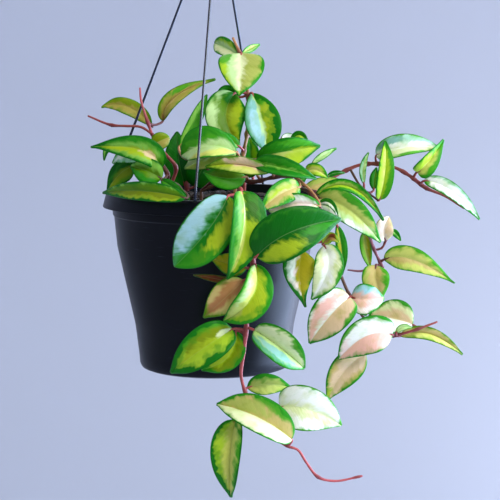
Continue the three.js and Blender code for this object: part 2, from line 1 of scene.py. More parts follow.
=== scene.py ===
"""The looks of a potted tricolor wax plant in a black hanging pot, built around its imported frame.

Plans are drawn in millimetres about the pot: its axis is x = y = 0, its rim's top face is z = 0 and -Y faces
the viewer. `placed` moves what is drawn so into the row's frame, in metres.
"""

import logging
import math
import random
from collections.abc import Callable, Sequence
from dataclasses import dataclass
from enum import Enum

import bpy
import numpy as np
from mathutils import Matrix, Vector, noise

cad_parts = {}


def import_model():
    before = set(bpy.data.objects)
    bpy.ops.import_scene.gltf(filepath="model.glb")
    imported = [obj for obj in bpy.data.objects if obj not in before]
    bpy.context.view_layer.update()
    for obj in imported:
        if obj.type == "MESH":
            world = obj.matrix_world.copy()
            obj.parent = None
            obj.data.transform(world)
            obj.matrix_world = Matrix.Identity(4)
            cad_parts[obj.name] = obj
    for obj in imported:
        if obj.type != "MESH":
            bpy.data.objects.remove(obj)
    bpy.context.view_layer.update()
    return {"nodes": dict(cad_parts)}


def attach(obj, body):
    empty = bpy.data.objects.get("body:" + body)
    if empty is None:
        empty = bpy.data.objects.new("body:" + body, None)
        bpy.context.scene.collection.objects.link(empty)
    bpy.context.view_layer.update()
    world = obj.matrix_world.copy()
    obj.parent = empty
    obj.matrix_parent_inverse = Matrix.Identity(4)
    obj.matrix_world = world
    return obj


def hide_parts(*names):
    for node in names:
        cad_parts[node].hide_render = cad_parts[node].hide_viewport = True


log = logging.getLogger("wax_plant")

Point = tuple[float, float, float]
Array = np.ndarray
Piece = bpy.types.Object
Material = bpy.types.Material
Socket = bpy.types.NodeSocket
BODY = "root"
MILLIMETRE = 0.001
# From the rim's centre, where the plans are drawn, to the hook's bearing point, the row's origin. Millimetres
HOOK_FROM_RIM = np.array([2.4, 0.0, 221.9])
# Points closer than this, in metres, are one point, which closes seams and poles
MERGE = 1e-6
# A tube's rounded end: how far its tip and a ring stand out, and the ring's size, in shares of the radius
END_TIP, END_RING, END_SIZE = 0.7, 0.5, 0.72
# How high a stem's drawn line begins, in millimetres: its root goes down into the mix from there
STEM_START = 3.0
# The radius of a bare tendril, in millimetres
TENDRIL = 0.85
# How many zones of colour a blade has, and how many spots over them
ZONES = 4
SPOTS = 2


def placed(points: Array) -> Array:
    """Moves points of a plan, in millimetres, into the row's frame, in metres."""
    return (np.asarray(points, float) - HOOK_FROM_RIM) * MILLIMETRE


class Tone(Enum):
    """The colours that the plant wears, as sRGB hex values. On some blades ICE, TEAL and SEA paint the sky's
    reflection.
    """

    SNOW = "#f6f8ea"
    BLUSH = "#f5dfd4"
    ROSE = "#ecb8a4"
    PEACH = "#e8c9a0"
    TAN = "#c8b26a"
    CREAM = "#e4ebb0"
    BUTTER = "#d0d468"
    KHAKI = "#b2bb5a"
    DRAB = "#a89c46"
    PISTACHIO = "#bedc90"
    MINT = "#a9d4b4"
    ICE = "#9fcacf"
    TEAL = "#83b6a8"
    SEA = "#5aa274"
    SPRING = "#86c04a"
    LIME = "#aacb2e"
    CITRON = "#a8be22"
    GOLD = "#b5a61a"
    OLIVE = "#7d900e"
    MOSS = "#5e8c0a"
    FRESH = "#49a01c"
    GRASS = "#2a8a14"
    DEEP = "#15720f"
    DARK = "#0a5f0a"
    SALMON = "#b07a4a"
    RUST = "#7e3a1c"
    WINE = "#5c1a1e"
    PINK = "#b8484c"
    VIOLET = "#8c566a"
    BROWN = "#4c2f20"
    RED = "#8e2f2c"


def linear(tone: str) -> tuple[float, float, float, float]:
    """Turns an sRGB hex colour into linear light.

    Args:
        tone: the colour as #rrggbb.

    Returns:
        Red, green, blue and an alpha of 1.
    """
    channels = [int(tone[i : i + 2], 16) / 255 for i in (1, 3, 5)]
    red, green, blue = (c / 12.92 if c <= 0.04045 else ((c + 0.055) / 1.055) ** 2.4 for c in channels)
    return red, green, blue, 1.0


@dataclass(frozen=True)
class View:
    """The view that the plant's points are given in: a pixel across, a pixel down, and millimetres nearer."""

    eye: Point = (23.9, -1150.0, 98.5)
    down: float = math.radians(6.85)
    distance: float = 1154.0
    pixel: float = 0.6727
    frame: float = 500.0

    @property
    def forward(self) -> Array:
        """The way the camera looks."""
        return np.array([0.0, math.cos(self.down), -math.sin(self.down)])

    @property
    def upward(self) -> Array:
        """The picture's upward direction."""
        return np.array([0.0, math.sin(self.down), math.cos(self.down)])

    def seen(self, across: float, below: float, near: float) -> Array:
        """The point of the plan that shows at a pixel.

        Args:
            across: pixels from the picture's left edge.
            below: pixels from its top edge.
            near: how many millimetres the point is nearer than the plane through the pot's axis.

        Returns:
            The point in the plan, in millimetres.
        """
        share = (self.distance - near) / self.distance
        point = np.array(self.eye) + self.forward * (self.distance - near)
        point = point + np.array([1.0, 0.0, 0.0]) * (across - self.frame / 2) * self.pixel * share
        return point + self.upward * (self.frame / 2 - below) * self.pixel * share


VIEW = View()


def around(radius: float, azimuth: float, height: float) -> Array:
    """The point at that radius and azimuth, in degrees, round the pot's axis."""
    angle = math.radians(azimuth)
    return np.array([radius * math.cos(angle), radius * math.sin(angle), height])


def root(x: float, y: float) -> Array:
    """Where a stem's drawn line begins, over its root in the potting mix."""
    return np.array([x, y, STEM_START])


# Mesh helpers


def deselect() -> None:
    """Leaves nothing selected, so that an operator acts only on what is picked next."""
    for item in bpy.context.selected_objects:
        item.select_set(False)


def pick(piece: Piece) -> Piece:
    """Selects one piece and makes it active.

    Args:
        piece: the piece to select.

    Returns:
        The same piece.
    """
    deselect()
    piece.select_set(True)
    bpy.context.view_layer.objects.active = piece
    return piece


def edit(piece: Piece, *steps: Callable[[], object]) -> None:
    """Runs operators on a piece in edit mode, in order, starting with all of it selected.

    Args:
        piece: the piece to edit.
        *steps: the operators' calls.
    """
    pick(piece)
    bpy.ops.object.mode_set(mode="EDIT")
    bpy.ops.mesh.select_all(action="SELECT")
    for step in steps:
        step()
    bpy.ops.object.mode_set(mode="OBJECT")


def apply(piece: Piece, kind: str, **settings: object) -> None:
    """Adds a modifier to a piece and applies it.

    Args:
        piece: the piece to change.
        kind: the modifier's type.
        **settings: the modifier's own properties.
    """
    pick(piece)
    modifier = piece.modifiers.new(kind.lower(), kind)
    for name, value in settings.items():
        setattr(modifier, name, value)
    bpy.ops.object.modifier_apply(modifier=modifier.name)


def joined(name: str, pieces: Sequence[Piece]) -> Piece:
    """Joins pieces into the first of them and names it.

    Args:
        name: the name of the piece and of its mesh.
        pieces: what is joined.

    Returns:
        The joined piece.
    """
    pick(pieces[0])
    for piece in pieces:
        piece.select_set(True)
    if len(pieces) > 1:
        bpy.ops.object.join()
    pieces[0].name = name
    pieces[0].data.name = name
    return pieces[0]


def shade(piece: Piece, degrees: float) -> None:
    """Smooths a piece's shading but for edges sharper than that."""
    pick(piece)
    bpy.ops.object.shade_smooth_by_angle(angle=math.radians(degrees))


def corners_of(piece: Piece) -> Array:
    """The places of a piece's vertices.

    Args:
        piece: the piece to read.

    Returns:
        One row for each vertex, in metres.
    """
    places = np.zeros(len(piece.data.vertices) * 3, np.float32)
    piece.data.vertices.foreach_get("co", places)
    return places.reshape(-1, 3).astype(float)


def lay(piece: Piece, places: Array) -> Piece:
    """Puts a piece's vertices at those places.

    Args:
        piece: the piece to change.
        places: one row for each vertex, in metres.

    Returns:
        The same piece.
    """
    piece.data.vertices.foreach_set("co", np.asarray(places, np.float32).ravel())
    piece.data.update()
    return piece


def new_grid(columns: int, rows: int) -> tuple[Piece, Array, Array]:
    """Adds a flat grid, ready to be laid over a surface.

    Args:
        columns: faces across.
        rows: faces along.

    Returns:
        The grid, and for each of its vertices its place across, from -1 to 1, and along, from 0 to 1.
    """
    deselect()
    bpy.ops.mesh.primitive_grid_add(x_subdivisions=columns, y_subdivisions=rows, size=2)
    piece = bpy.context.object
    places = corners_of(piece)
    return piece, places[:, 0], (places[:, 1] + 1) / 2


def close_seams(piece: Piece, inside: bool = False, gap: float = MERGE) -> None:
    """Merges the seam and the poles of a grid that is wrapped round a shape, and turns its faces one way.

    Args:
        piece: the wrapped grid.
        inside: whether its faces look inwards.
        gap: how far apart points may be that are one point, in metres.
    """
    edit(
        piece,
        lambda: bpy.ops.mesh.remove_doubles(threshold=gap),
        lambda: bpy.ops.mesh.normals_make_consistent(inside=inside),
    )


def turned_grid(profile: Array, columns: int) -> tuple[Piece, Array, Array]:
    """Adds a grid, and works out where its vertices go to wrap it round the upright axis.

    Args:
        profile: one row of radius and height for each ring.
        columns: faces round the axis.

    Returns:
        The grid, the place of each of its vertices, and the ring that each belongs to.
    """
    piece, across, along = new_grid(columns, len(profile) - 1)
    ring = np.rint(along * (len(profile) - 1)).astype(int)
    angle = (across + 1) * math.pi
    radius, height = profile[ring, 0], profile[ring, 1]
    return piece, np.stack([radius * np.cos(angle), radius * np.sin(angle), height], axis=1), ring


def copy_of(piece: Piece) -> Piece:
    """Copies a piece together with its mesh.

    Args:
        piece: the piece to copy.

    Returns:
        The copy.
    """
    twin = piece.copy()
    twin.data = piece.data.copy()
    bpy.context.scene.collection.objects.link(twin)
    return twin


def spun(
    profile: Sequence[tuple[float, float]], axis: float, steps: int, bevel: float, sharp: float = 25.0
) -> Piece:
    """Turns a closed section about an upright axis, as on a lathe.

    Args:
        profile: the section's corners, radius and height, in plan millimetres. Two of them are on the axis.
        axis: the axis's x in the plan.
        steps: faces round the piece.
        bevel: how far its sharp corners are rounded, in millimetres.
        sharp: the turn, in degrees, from which a corner is rounded.

    Returns:
        The piece, closed, with its faces outwards.
    """
    deselect()
    bpy.ops.mesh.primitive_circle_add(vertices=len(profile), radius=1)
    piece = bpy.context.object
    lay(piece, placed([(axis + radius, 0.0, height) for radius, height in profile]))
    centre = tuple(placed((axis, 0.0, 0.0)))
    edit(
        piece,
        lambda: bpy.ops.mesh.spin(steps=steps, angle=2 * math.pi, center=centre, axis=(0, 0, 1)),
        lambda: bpy.ops.mesh.select_all(action="SELECT"),
        lambda: bpy.ops.mesh.remove_doubles(threshold=MERGE),
        lambda: bpy.ops.mesh.delete_loose(use_faces=False),
        lambda: bpy.ops.mesh.select_all(action="SELECT"),
        lambda: bpy.ops.mesh.normals_make_consistent(inside=False),
    )
    width, angle = bevel * MILLIMETRE, math.radians(sharp)
    apply(piece, "BEVEL", width=width, segments=2, limit_method="ANGLE", angle_limit=angle)
    return piece


def attribute(piece: Piece, name: str, values: Array) -> None:
    """Stores one number, vector or colour for each vertex of a piece.

    Args:
        piece: the piece that carries the values.
        name: the attribute's name, which its material reads.
        values: one number, or one row of three or four, for each vertex.
    """
    kind, key = {1: ("FLOAT", "value"), 3: ("FLOAT_VECTOR", "vector"), 4: ("FLOAT_COLOR", "color")}[
        1 if values.ndim == 1 else values.shape[1]
    ]
    layer = piece.data.attributes.new(name, kind, "POINT")
    layer.data.foreach_set(key, values.astype(np.float32).ravel())


def on_spline(points: Sequence[Array], share: float, least_gap: float = 1e-4) -> Array:
    """A point on the centripetal spline through some points, as the solids use it.

    Args:
        points: the points that the spline goes through.
        share: how far along the spline, counted in points, from 0 to 1.
        least_gap: the root of a distance below which two points count as one.

    Returns:
        The point.
    """
    points = [np.asarray(point, float) for point in points]
    last = len(points) - 1
    place = min(max(share, 0.0), 1.0) * last
    index = min(int(place), last - 1)
    weight = place - index
    first, second = points[index], points[index + 1]
    before = points[index - 1] if index > 0 else 2 * points[0] - points[1]
    after = points[index + 2] if index + 2 <= last else 2 * points[last] - points[last - 1]
    gaps = [math.sqrt(np.linalg.norm(b - a)) for a, b in ((before, first), (first, second), (second, after))]
    gaps = [gap if gap > least_gap else 1.0 for gap in gaps]
    start = (first - before) / gaps[0] - (second - before) / (gaps[0] + gaps[1]) + (second - first) / gaps[1]
    end = (second - first) / gaps[1] - (after - first) / (gaps[1] + gaps[2]) + (after - second) / gaps[2]
    start, end = start * gaps[1], end * gaps[1]
    square, cube = weight**2, weight**3
    return (
        first
        + start * weight
        + (3 * (second - first) - 2 * start - end) * square
        + (2 * (first - second) + start + end) * cube
    )


def spaced(points: Sequence[Array], step: float, samples: int = 24) -> Array:
    """Points at even steps along the spline through some points.

    Args:
        points: the points that the spline goes through.
        step: about how far apart the steps are, in millimetres.
        samples: how many places the spline is measured at for each point.

    Returns:
        One row for each step, three of them at least, from the first point to the last.
    """
    fine = np.array([on_spline(points, share) for share in np.linspace(0, 1, samples * len(points))])
    lengths = np.concatenate([[0], np.cumsum(np.linalg.norm(np.diff(fine, axis=0), axis=1))])
    count = max(3, round(lengths[-1] / step)) + 1
    places = np.linspace(0, lengths[-1], count)
    return np.stack([np.interp(places, lengths, fine[:, axis]) for axis in range(3)], axis=1)


def tube(centres: Array, radii: Array, sides: int) -> Piece:
    """A closed tube round a line of centres, in plan millimetres, with rounded ends.

    Args:
        centres: the line's points.
        radii: the radius at each of them.
        sides: faces round the tube.

    Returns:
        The tube, as a grid wrapped round the line.
    """
    heading = np.gradient(centres, axis=0)
    heading /= np.linalg.norm(heading, axis=1, keepdims=True)
    side = np.zeros_like(heading)
    # Any direction that no line of the object follows serves to start the sides from
    start = np.cross(heading[0], [0.31, 0.9, 0.2])
    side[0] = start / np.linalg.norm(start)
    for i in range(1, len(centres)):
        carried = side[i - 1] - heading[i] * (side[i - 1] @ heading[i])
        side[i] = carried / np.linalg.norm(carried)
    other = np.cross(heading, side)
    foot = [centres[0] - heading[0] * radii[0] * share for share in (END_TIP, END_RING)]
    head = [centres[-1] + heading[-1] * radii[-1] * share for share in (END_RING, END_TIP)]
    centres = np.vstack([*foot, centres, *head])
    radii = np.concatenate([[0.0, END_SIZE * radii[0]], radii, [END_SIZE * radii[-1], 0.0]])
    side, other = (np.vstack([way[:1], way[:1], way, way[-1:], way[-1:]]) for way in (side, other))

    piece, across, along = new_grid(sides, len(centres) - 1)
    row = np.rint(along * (len(centres) - 1)).astype(int)
    angle = (across + 1)[:, None] * math.pi
    reach = radii[row][:, None] * (np.cos(angle) * side[row] + np.sin(angle) * other[row])
    lay(piece, placed(centres[row] + reach))
    close_seams(piece)
    return piece


# Materials. A pattern's scale is how many marks fit in how many millimetres: 6 / 25 is six of them in 25 mm


class Wiring:
    """The node tree of a material or of the sky, as it is being wired."""

    def __init__(self, tree: bpy.types.NodeTree) -> None:
        """Starts with that tree, emptied."""
        self.tree = tree
        self.tree.nodes.clear()

    def add(
        self,
        kind: str,
        inputs: Sequence[object] | dict[int | str, object] = (),
        output: int | str = 0,
        **settings: object,
    ) -> Socket | None:
        """Adds a node, sets it, and links or fills its inputs.

        Args:
            kind: the node's type.
            inputs: a socket to link or a value for each input, from the first on, or by its number or name.
            output: the output that is wanted.
            **settings: the node's own properties.

        Returns:
            That output, or None if the node has none.
        """
        node = self.tree.nodes.new("ShaderNode" + kind)
        for name, value in settings.items():
            setattr(node, name, value)
        for key, value in inputs.items() if isinstance(inputs, dict) else enumerate(inputs):
            if isinstance(value, Socket):
                self.tree.links.new(value, node.inputs[key])
            else:
                node.inputs[key].default_value = value
        return node.outputs[output] if node.outputs else None


class Finish(Wiring):
    """A material as it is being wired, with the patterns that its finishes share."""

    def __init__(self, name: str) -> None:
        """Starts a material of that name."""
        self.material = bpy.data.materials.new(name)
        self.material.use_nodes = True
        super().__init__(self.material.node_tree)

    def parts(self, name: str) -> Sequence[Socket]:
        """The three numbers of a piece's own attribute."""
        vector = self.add("Attribute", output="Vector", attribute_name=name)
        return self.add("SeparateXYZ", (vector,)).node.outputs

    def swing(self, noise: object, amount: float, base: object) -> Socket:
        """A value that a noise moves both ways, by up to half the amount."""
        centred = self.add("Math", (noise, 0.5), operation="SUBTRACT")
        return self.add("Math", (centred, amount, base), operation="MULTIPLY_ADD")

    def gap(self, first: object, second: object, slope: float, start: float = 0.0) -> Socket:
        """How far the first value is over the second, times a slope, kept between 0 and 1."""
        over = self.add("Math", (first, second), operation="SUBTRACT")
        return self.add("Math", (over, slope, start), operation="MULTIPLY_ADD", use_clamp=True)

    def paint(self, color: object, mask: object, cover: float, coat: object, blend: str = "MIX") -> Socket:
        """Lays a coat of another colour over a colour.

        Args:
            color: what it is laid over.
            mask: where it is laid, from 0 to 1.
            cover: how much the coat hides at most.
            coat: the coat's colour.
            blend: how the two mix.

        Returns:
            The colour that shows.
        """
        share = self.add("Math", (mask, cover), operation="MULTIPLY")
        return self.add("Mix", {0: share, 6: color, 7: coat}, 2, data_type="RGBA", blend_type=blend)

    def close(
        self, color: object, roughness: object, bump: object, depth: float, **more: object
    ) -> Material:
        """Closes the material with its surface.

        Args:
            color: base colour, a socket or a value.
            roughness: a socket or a value.
            bump: the socket that raises the surface.
            depth: how far that is, in millimetres.
            **more: other inputs of the surface, by name, with underscores for spaces.

        Returns:
            The finished material.
        """
        relief = self.add("Bump", {"Height": bump, "Strength": 1.0, "Distance": depth * MILLIMETRE})
        inputs = {"Base Color": color, "Roughness": roughness, "Normal": relief}
        inputs.update({name.replace("_", " "): value for name, value in more.items()})
        self.add("OutputMaterial", {"Surface": self.add("BsdfPrincipled", inputs)})
        return self.material


@dataclass(frozen=True)
class BladeMarks:
    """The sockets that say where on its blade a point is, in millimetres, and the noises there."""

    along: Socket
    across: Socket
    away: Socket
    first_half: Socket
    reach: Socket
    rims: Sequence[Socket]
    streaks: Socket
    veins: Socket
    blotches: Socket
    grain: Socket


@dataclass(frozen=True)
class WaxyBlade:
    """A wax plant's fleshy leaf, grown with a thick smooth cuticle.

    The cuticle gives the eye a broad soft gloss, and the flesh under it is coloured in zones with streaked
    borders, in spots, and in a green margin; on some blades zones and spots also paint the sky's reflection.
    Its patterns lie on the blade's own place, in millimetres.
    """

    name: str
    faded: float = 0.0
    roughness: float = 0.36
    roughness_swing: float = 0.16
    coat: float = 0.05
    coat_roughness: float = 0.22
    ior: float = 1.46
    specular: float = 0.13
    relief: float = 0.5
    cloud: str = "#cdda84"
    # The noises: streaks about 4 mm wide, side veins 0.9 mm, blotches 8 mm, and a grain of half a millimetre
    streaks: float = 6 / 25
    veins: float = 11 / 10
    blotches: float = 13 / 100
    grain: float = 22 / 10
    # How side veins leave the rib, how much they are stretched outwards, and how unlike the two halves are
    vein_slant: float = -0.9
    vein_stretch: float = 0.3
    halves_apart: float = 3.7
    # How far a zone's border strays with each noise, in shares of the width
    streak_stray: float = 0.3
    blotch_stray: float = 0.34
    vein_stray: float = 0.06
    # Where along the blade a slanting border is at its cut, and what share of its slant a millimetre adds
    slant_from: float = 14.0
    slant_share: float = -0.025
    # How soon a border off the rib is free to stray, how sharp it is on the rib, and how much less off it
    rib_guard: float = 14.0
    clean_slope: float = 30.0
    stray_slope: float = -22.0
    spot_stray: float = 3.5
    spot_slope: float = 2.6
    spot_cover: float = 0.92
    cloud_cover: float = 0.5
    vein_cover: float = 0.16
    # The margin: how its width swings, and how its feathers and its edge run inwards, in millimetres
    margin_swing: float = 3.2
    feather_share: float = 1.7
    feather_swing: float = 7.0
    feather_slope: float = 0.42
    feather_cover: float = 0.55
    edge_swing: float = 2.2
    edge_fray: float = 1.2
    edge_slope: float = 1.3
    outline: float = 0.35
    outline_slope: float = 2.2
    outline_cover: float = 0.7
    rib_slope: float = -3.2
    rib_width: float = 1.3
    rib_cover: float = 0.14

    def marks(self, wax: Finish) -> BladeMarks:
        """Works out where on its blade a point is, and the noises there.

        Args:
            wax: the material that is being wired.

        Returns:
            The sockets.
        """
        along, across, number = wax.parts("leaf_place")
        away = wax.add("Math", (across,), operation="ABSOLUTE")
        first_half = wax.add("Math", (across, 0.0), operation="GREATER_THAN")
        # Side veins leave the rib at a slant: streaks follow them, and blotches don't
        slanted = wax.add("Math", (away, self.vein_slant, along), operation="MULTIPLY_ADD")
        stretched = wax.add("Math", (away, self.vein_stretch), operation="MULTIPLY")
        half = wax.add("Math", (first_half, self.halves_apart, number), operation="MULTIPLY_ADD")
        veins_at = wax.add("CombineXYZ", (slanted, stretched, half))
        flesh_at = wax.add("CombineXYZ", (along, across, number))
        return BladeMarks(
            along=along,
            across=across,
            away=away,
            first_half=first_half,
            reach=wax.add("Attribute", output="Fac", attribute_name="leaf_reach"),
            rims=wax.parts("leaf_rims"),
            streaks=wax.add("TexNoise", {"Vector": veins_at, "Scale": self.streaks, "Detail": 2.5}),
            veins=wax.add("TexNoise", {"Vector": veins_at, "Scale": self.veins, "Detail": 3.0}),
            blotches=wax.add("TexNoise", {"Vector": flesh_at, "Scale": self.blotches, "Detail": 2.0}),
            grain=wax.add("TexNoise", {"Vector": flesh_at, "Scale": self.grain, "Detail": 2.0}),
        )

    def zones(self, wax: Finish, at: BladeMarks) -> Socket:
        """Colours the blade in zones, from the first half's margin to the second's, and in spots over them.

        Args:
            wax: the material that is being wired.
            at: where the point is.

        Returns:
            The colour.
        """
        stray = wax.swing(at.blotches, self.blotch_stray, wax.swing(at.streaks, self.streak_stray, 0.0))
        stray = wax.swing(at.veins, self.vein_stray, stray)
        share = wax.add("Math", (at.across, at.reach), operation="DIVIDE")
        share = wax.add("Math", (share, -0.5, 0.5), operation="MULTIPLY_ADD")
        drift = wax.add("Math", (at.along, self.slant_from), operation="SUBTRACT")
        slant = wax.add("Math", (at.rims[2], self.slant_share), operation="MULTIPLY")
        share = wax.add("Math", (drift, slant, share), operation="MULTIPLY_ADD")
        color = wax.add("Attribute", output="Color", attribute_name="leaf_tone_0")
        for i, cut in enumerate(wax.parts("leaf_cuts"), 1):
            # A border along the rib, at half the width, is clean. Elsewhere it strays
            from_rib = wax.add("Math", (cut, 0.5), operation="SUBTRACT")
            from_rib = wax.add("Math", (from_rib,), operation="ABSOLUTE")
            free = wax.add("Math", (from_rib, self.rib_guard), operation="MULTIPLY", use_clamp=True)
            past = wax.add("Math", (share, cut), operation="SUBTRACT")
            past = wax.add("Math", (stray, free, past), operation="MULTIPLY_ADD")
            slope = wax.add("Math", (free, self.stray_slope, self.clean_slope), operation="MULTIPLY_ADD")
            mask = wax.add("Math", (past, slope, 0.5), operation="MULTIPLY_ADD", use_clamp=True)
            tone = wax.add("Attribute", output="Color", attribute_name=f"leaf_tone_{i}")
            color = wax.paint(color, mask, 1.0, tone)
        for i in range(SPOTS):
            spot = wax.add("Attribute", output="Fac", attribute_name=f"leaf_spot_{i}")
            spot = wax.add("Math", (stray, self.spot_stray, spot), operation="MULTIPLY_ADD")
            mask = wax.gap(spot, 0.0, self.spot_slope, 0.5)
            tone = wax.add("Attribute", output="Color", attribute_name=f"leaf_spot_tone_{i}")
            color = wax.paint(color, mask, self.spot_cover, tone)
        return color

    def margin(self, wax: Finish, at: BladeMarks, color: object, rim: object) -> Socket:
        """Adds the green margin, which swells and thins, and feathers inwards in a fresher green.

        Args:
            wax: the material that is being wired.
            at: where the point is.
            color: the colour inside the margin.
            rim: the margin's own colour.

        Returns:
            The colour, darkest at the very rim.
        """
        inwards = wax.add("Math", (at.reach, at.away), operation="SUBTRACT")
        width = wax.add("Mix", {0: at.first_half, 2: at.rims[1], 3: at.rims[0]})
        width = wax.add("Math", (width, wax.swing(at.blotches, self.margin_swing, 1.0)), operation="MULTIPLY")
        feathers = wax.add("Math", (width, self.feather_share), operation="MULTIPLY")
        feathers = wax.swing(at.streaks, self.feather_swing, feathers)
        fresh = wax.paint(rim, 1.0, 0.5, linear(Tone.FRESH.value))
        mask = wax.gap(feathers, inwards, self.feather_slope, 0.5)
        color = wax.paint(color, mask, self.feather_cover, fresh)
        edge = wax.swing(at.veins, self.edge_fray, wax.swing(at.streaks, self.edge_swing, width))
        color = wax.paint(color, wax.gap(edge, inwards, self.edge_slope, 0.5), 1.0, rim)
        outline = wax.gap(self.outline, inwards, self.outline_slope, 0.5)
        return wax.paint(color, outline, self.outline_cover, linear(Tone.DARK.value))

    def build(self) -> Material:
        """Wires the material, which reads the zones that each blade carries.

        Returns:
            The finished material.
        """
        wax = Finish(self.name)
        at = self.marks(wax)
        rim = wax.add("Attribute", output="Color", attribute_name="leaf_rim")
        color = self.zones(wax, at)
        # Soft clouds of yellower flesh, and side veins that show as faint lines
        clouds = wax.gap(at.blotches, 0.5, 4.0)
        color = wax.paint(color, clouds, self.cloud_cover, linear(self.cloud), blend="MULTIPLY")
        color = wax.paint(color, wax.gap(at.veins, 0.6, 7.0), self.vein_cover, rim)
        color = self.margin(wax, at, color, rim)
        rib = (at.away, self.rib_slope, self.rib_width)
        rib = wax.add("Math", rib, operation="MULTIPLY_ADD", use_clamp=True)
        color = wax.paint(color, rib, self.rib_cover, linear(Tone.PISTACHIO.value))
        color = wax.paint(color, 1.0, self.faded, linear(Tone.SPRING.value))
        bump = wax.add("Math", (at.grain, 0.1), operation="MULTIPLY")
        bump = wax.add("Math", (at.veins, 0.25, bump), operation="MULTIPLY_ADD")
        bump = wax.add("Math", (at.streaks, 0.9, bump), operation="MULTIPLY_ADD")
        roughness = wax.swing(at.veins, self.roughness_swing, self.roughness)
        gloss = {"Coat_Weight": self.coat, "Coat_Roughness": self.coat_roughness}
        return wax.close(
            color, roughness, bump, self.relief, IOR=self.ior, Specular_IOR_Level=self.specular, **gloss
        )


@dataclass(frozen=True)
class StemBark:
    """Young wax plant stem, grown with a thin smooth bark.

    It gives the eye red and brown lines that are dull but for a faint sheen, and darker at their joints.
    """

    name: str = "stem_bark"
    roughness: float = 0.42
    ior: float = 1.46
    specular: float = 0.35
    relief: float = 0.12
    # Brown patches about 9 mm long, and pale flecks of about 1 mm
    patches: float = 11 / 100
    patch_cover: float = 0.35
    flecks: float = 9 / 10
    fleck_cover: float = 0.12
    knot_cover: float = 0.75

    def build(self) -> Material:
        """Wires the material, which reads each stem's own tone and joints.

        Returns:
            The finished material.
        """
        bark = Finish(self.name)
        place = bark.add("TexCoord", output="Object")
        patches = {"Vector": place, "Scale": self.patches / MILLIMETRE, "Detail": 3.0}
        patches = bark.gap(bark.add("TexNoise", patches), 0.58, 6.0)
        flecks = bark.add("TexNoise", {"Vector": place, "Scale": self.flecks / MILLIMETRE, "Detail": 2.0})
        knot = bark.add("Attribute", output="Fac", attribute_name="stem_knot")
        color = bark.add("Attribute", output="Color", attribute_name="stem_tone")
        color = bark.paint(color, patches, self.patch_cover, linear(Tone.BROWN.value))
        color = bark.paint(color, flecks, self.fleck_cover, linear(Tone.ROSE.value))
        color = bark.paint(color, knot, self.knot_cover, linear(Tone.WINE.value))
        gloss = {"IOR": self.ior, "Specular_IOR_Level": self.specular}
        return bark.close(color, self.roughness, flecks, self.relief, **gloss)


@dataclass(frozen=True)
class MouldedPlastic:
    """Polypropylene, injection-moulded in a fine-grained mould.

    It gives the eye a dark satin skin, with smudges that dull it and pale scuffs where it has been handled.
    """

    name: str
    color: str
    roughness: float
    scuffing: float
    specular: float
    ior: float = 1.49
    relief: float = 0.05
    scuff_color: str = "#5a6072"
    # Scuffs about 17 mm long and 1.4 mm high, and smudges of 22 mm. The grain of 0.4 mm is coarser than the
    # real one, so that it shows
    scuffs: Point = (6 / 100, 6 / 100, 7 / 10)
    smudges: float = 45 / 1000
    smudge_swing: float = 0.22
    grain: float = 26 / 10

    def build(self) -> Material:
        """Wires the material.

        Returns:
            The finished material.
        """
        skin = Finish(self.name)
        place = skin.add("TexCoord", output="Object")
        stretched = skin.add("Mapping", {0: place, 3: [scale / MILLIMETRE for scale in self.scuffs]})
        scuffs = skin.add("TexNoise", {"Vector": stretched, "Scale": 1.0, "Detail": 4.0})
        smudges = {"Vector": place, "Scale": self.smudges / MILLIMETRE, "Detail": 3.0}
        smudges = skin.add("TexNoise", smudges)
        grain = skin.add("TexNoise", {"Vector": place, "Scale": self.grain / MILLIMETRE, "Detail": 1.0})
        worn = skin.add("Math", (skin.gap(scuffs, 0.66, 12.0), smudges), operation="MULTIPLY")
        color = skin.paint(linear(self.color), worn, self.scuffing, linear(self.scuff_color))
        roughness = skin.swing(smudges, self.smudge_swing, self.roughness)
        bump = skin.add("Math", (scuffs, 0.5), operation="MULTIPLY")
        bump = skin.add("Math", (grain, 0.4, bump), operation="MULTIPLY_ADD")
        gloss = {"IOR": self.ior, "Specular_IOR_Level": self.specular}
        return skin.close(color, roughness, bump, self.relief, **gloss)


@dataclass(frozen=True)
class DampMix:
    """Peat, or pine bark in pieces, kept damp.

    It gives the eye a near-black ground without gloss, in crumbs. The grain is their size in millimetres.
    """

    name: str
    dark: str
    light: str
    grain: float
    roughness: float = 0.85
    relief: float = 1.2

    def build(self) -> Material:
        """Wires the material.

        Returns:
            The finished material.
        """
        mix = Finish(self.name)
        place = mix.add("TexCoord", output="Object")
        crumbs = {"Vector": place, "Scale": 1 / (self.grain * MILLIMETRE), "Detail": 5.0}
        crumbs = mix.add("TexNoise", crumbs)
        color = mix.paint(linear(self.dark), mix.gap(crumbs, 0.5, 3.0, 0.4), 1.0, linear(self.light))
        return mix.close(color, self.roughness, crumbs, self.relief)


# The plant's plans


@dataclass(frozen=True)
class Spot:
    """A patch of another tone on a blade: its place across and along, and how far it reaches, in shares."""

    tone: Tone
    across: float
    along: float
    wide: float = 0.2
    long: float = 0.2


@dataclass(frozen=True)
class Look:
    """How one blade is coloured.

    Up to four tones go across it, from the half on the rib's right, looking from base to tip, to the half
    on its left, and change at the cuts, which are shares of the whole width. Rims are the green margins'
    widths on those two halves, in millimetres. Slant is how much the cuts shift over 40 millimetres towards
    the tip, and spots are up to two patches over those tones.
    """

    tones: tuple[Tone, ...]
    cuts: tuple[float, ...] = ()
    rims: tuple[float, float] = (1.2, 1.2)
    rim: Tone = Tone.GRASS
    slant: float = 0.0
    spots: tuple[Spot, ...] = ()


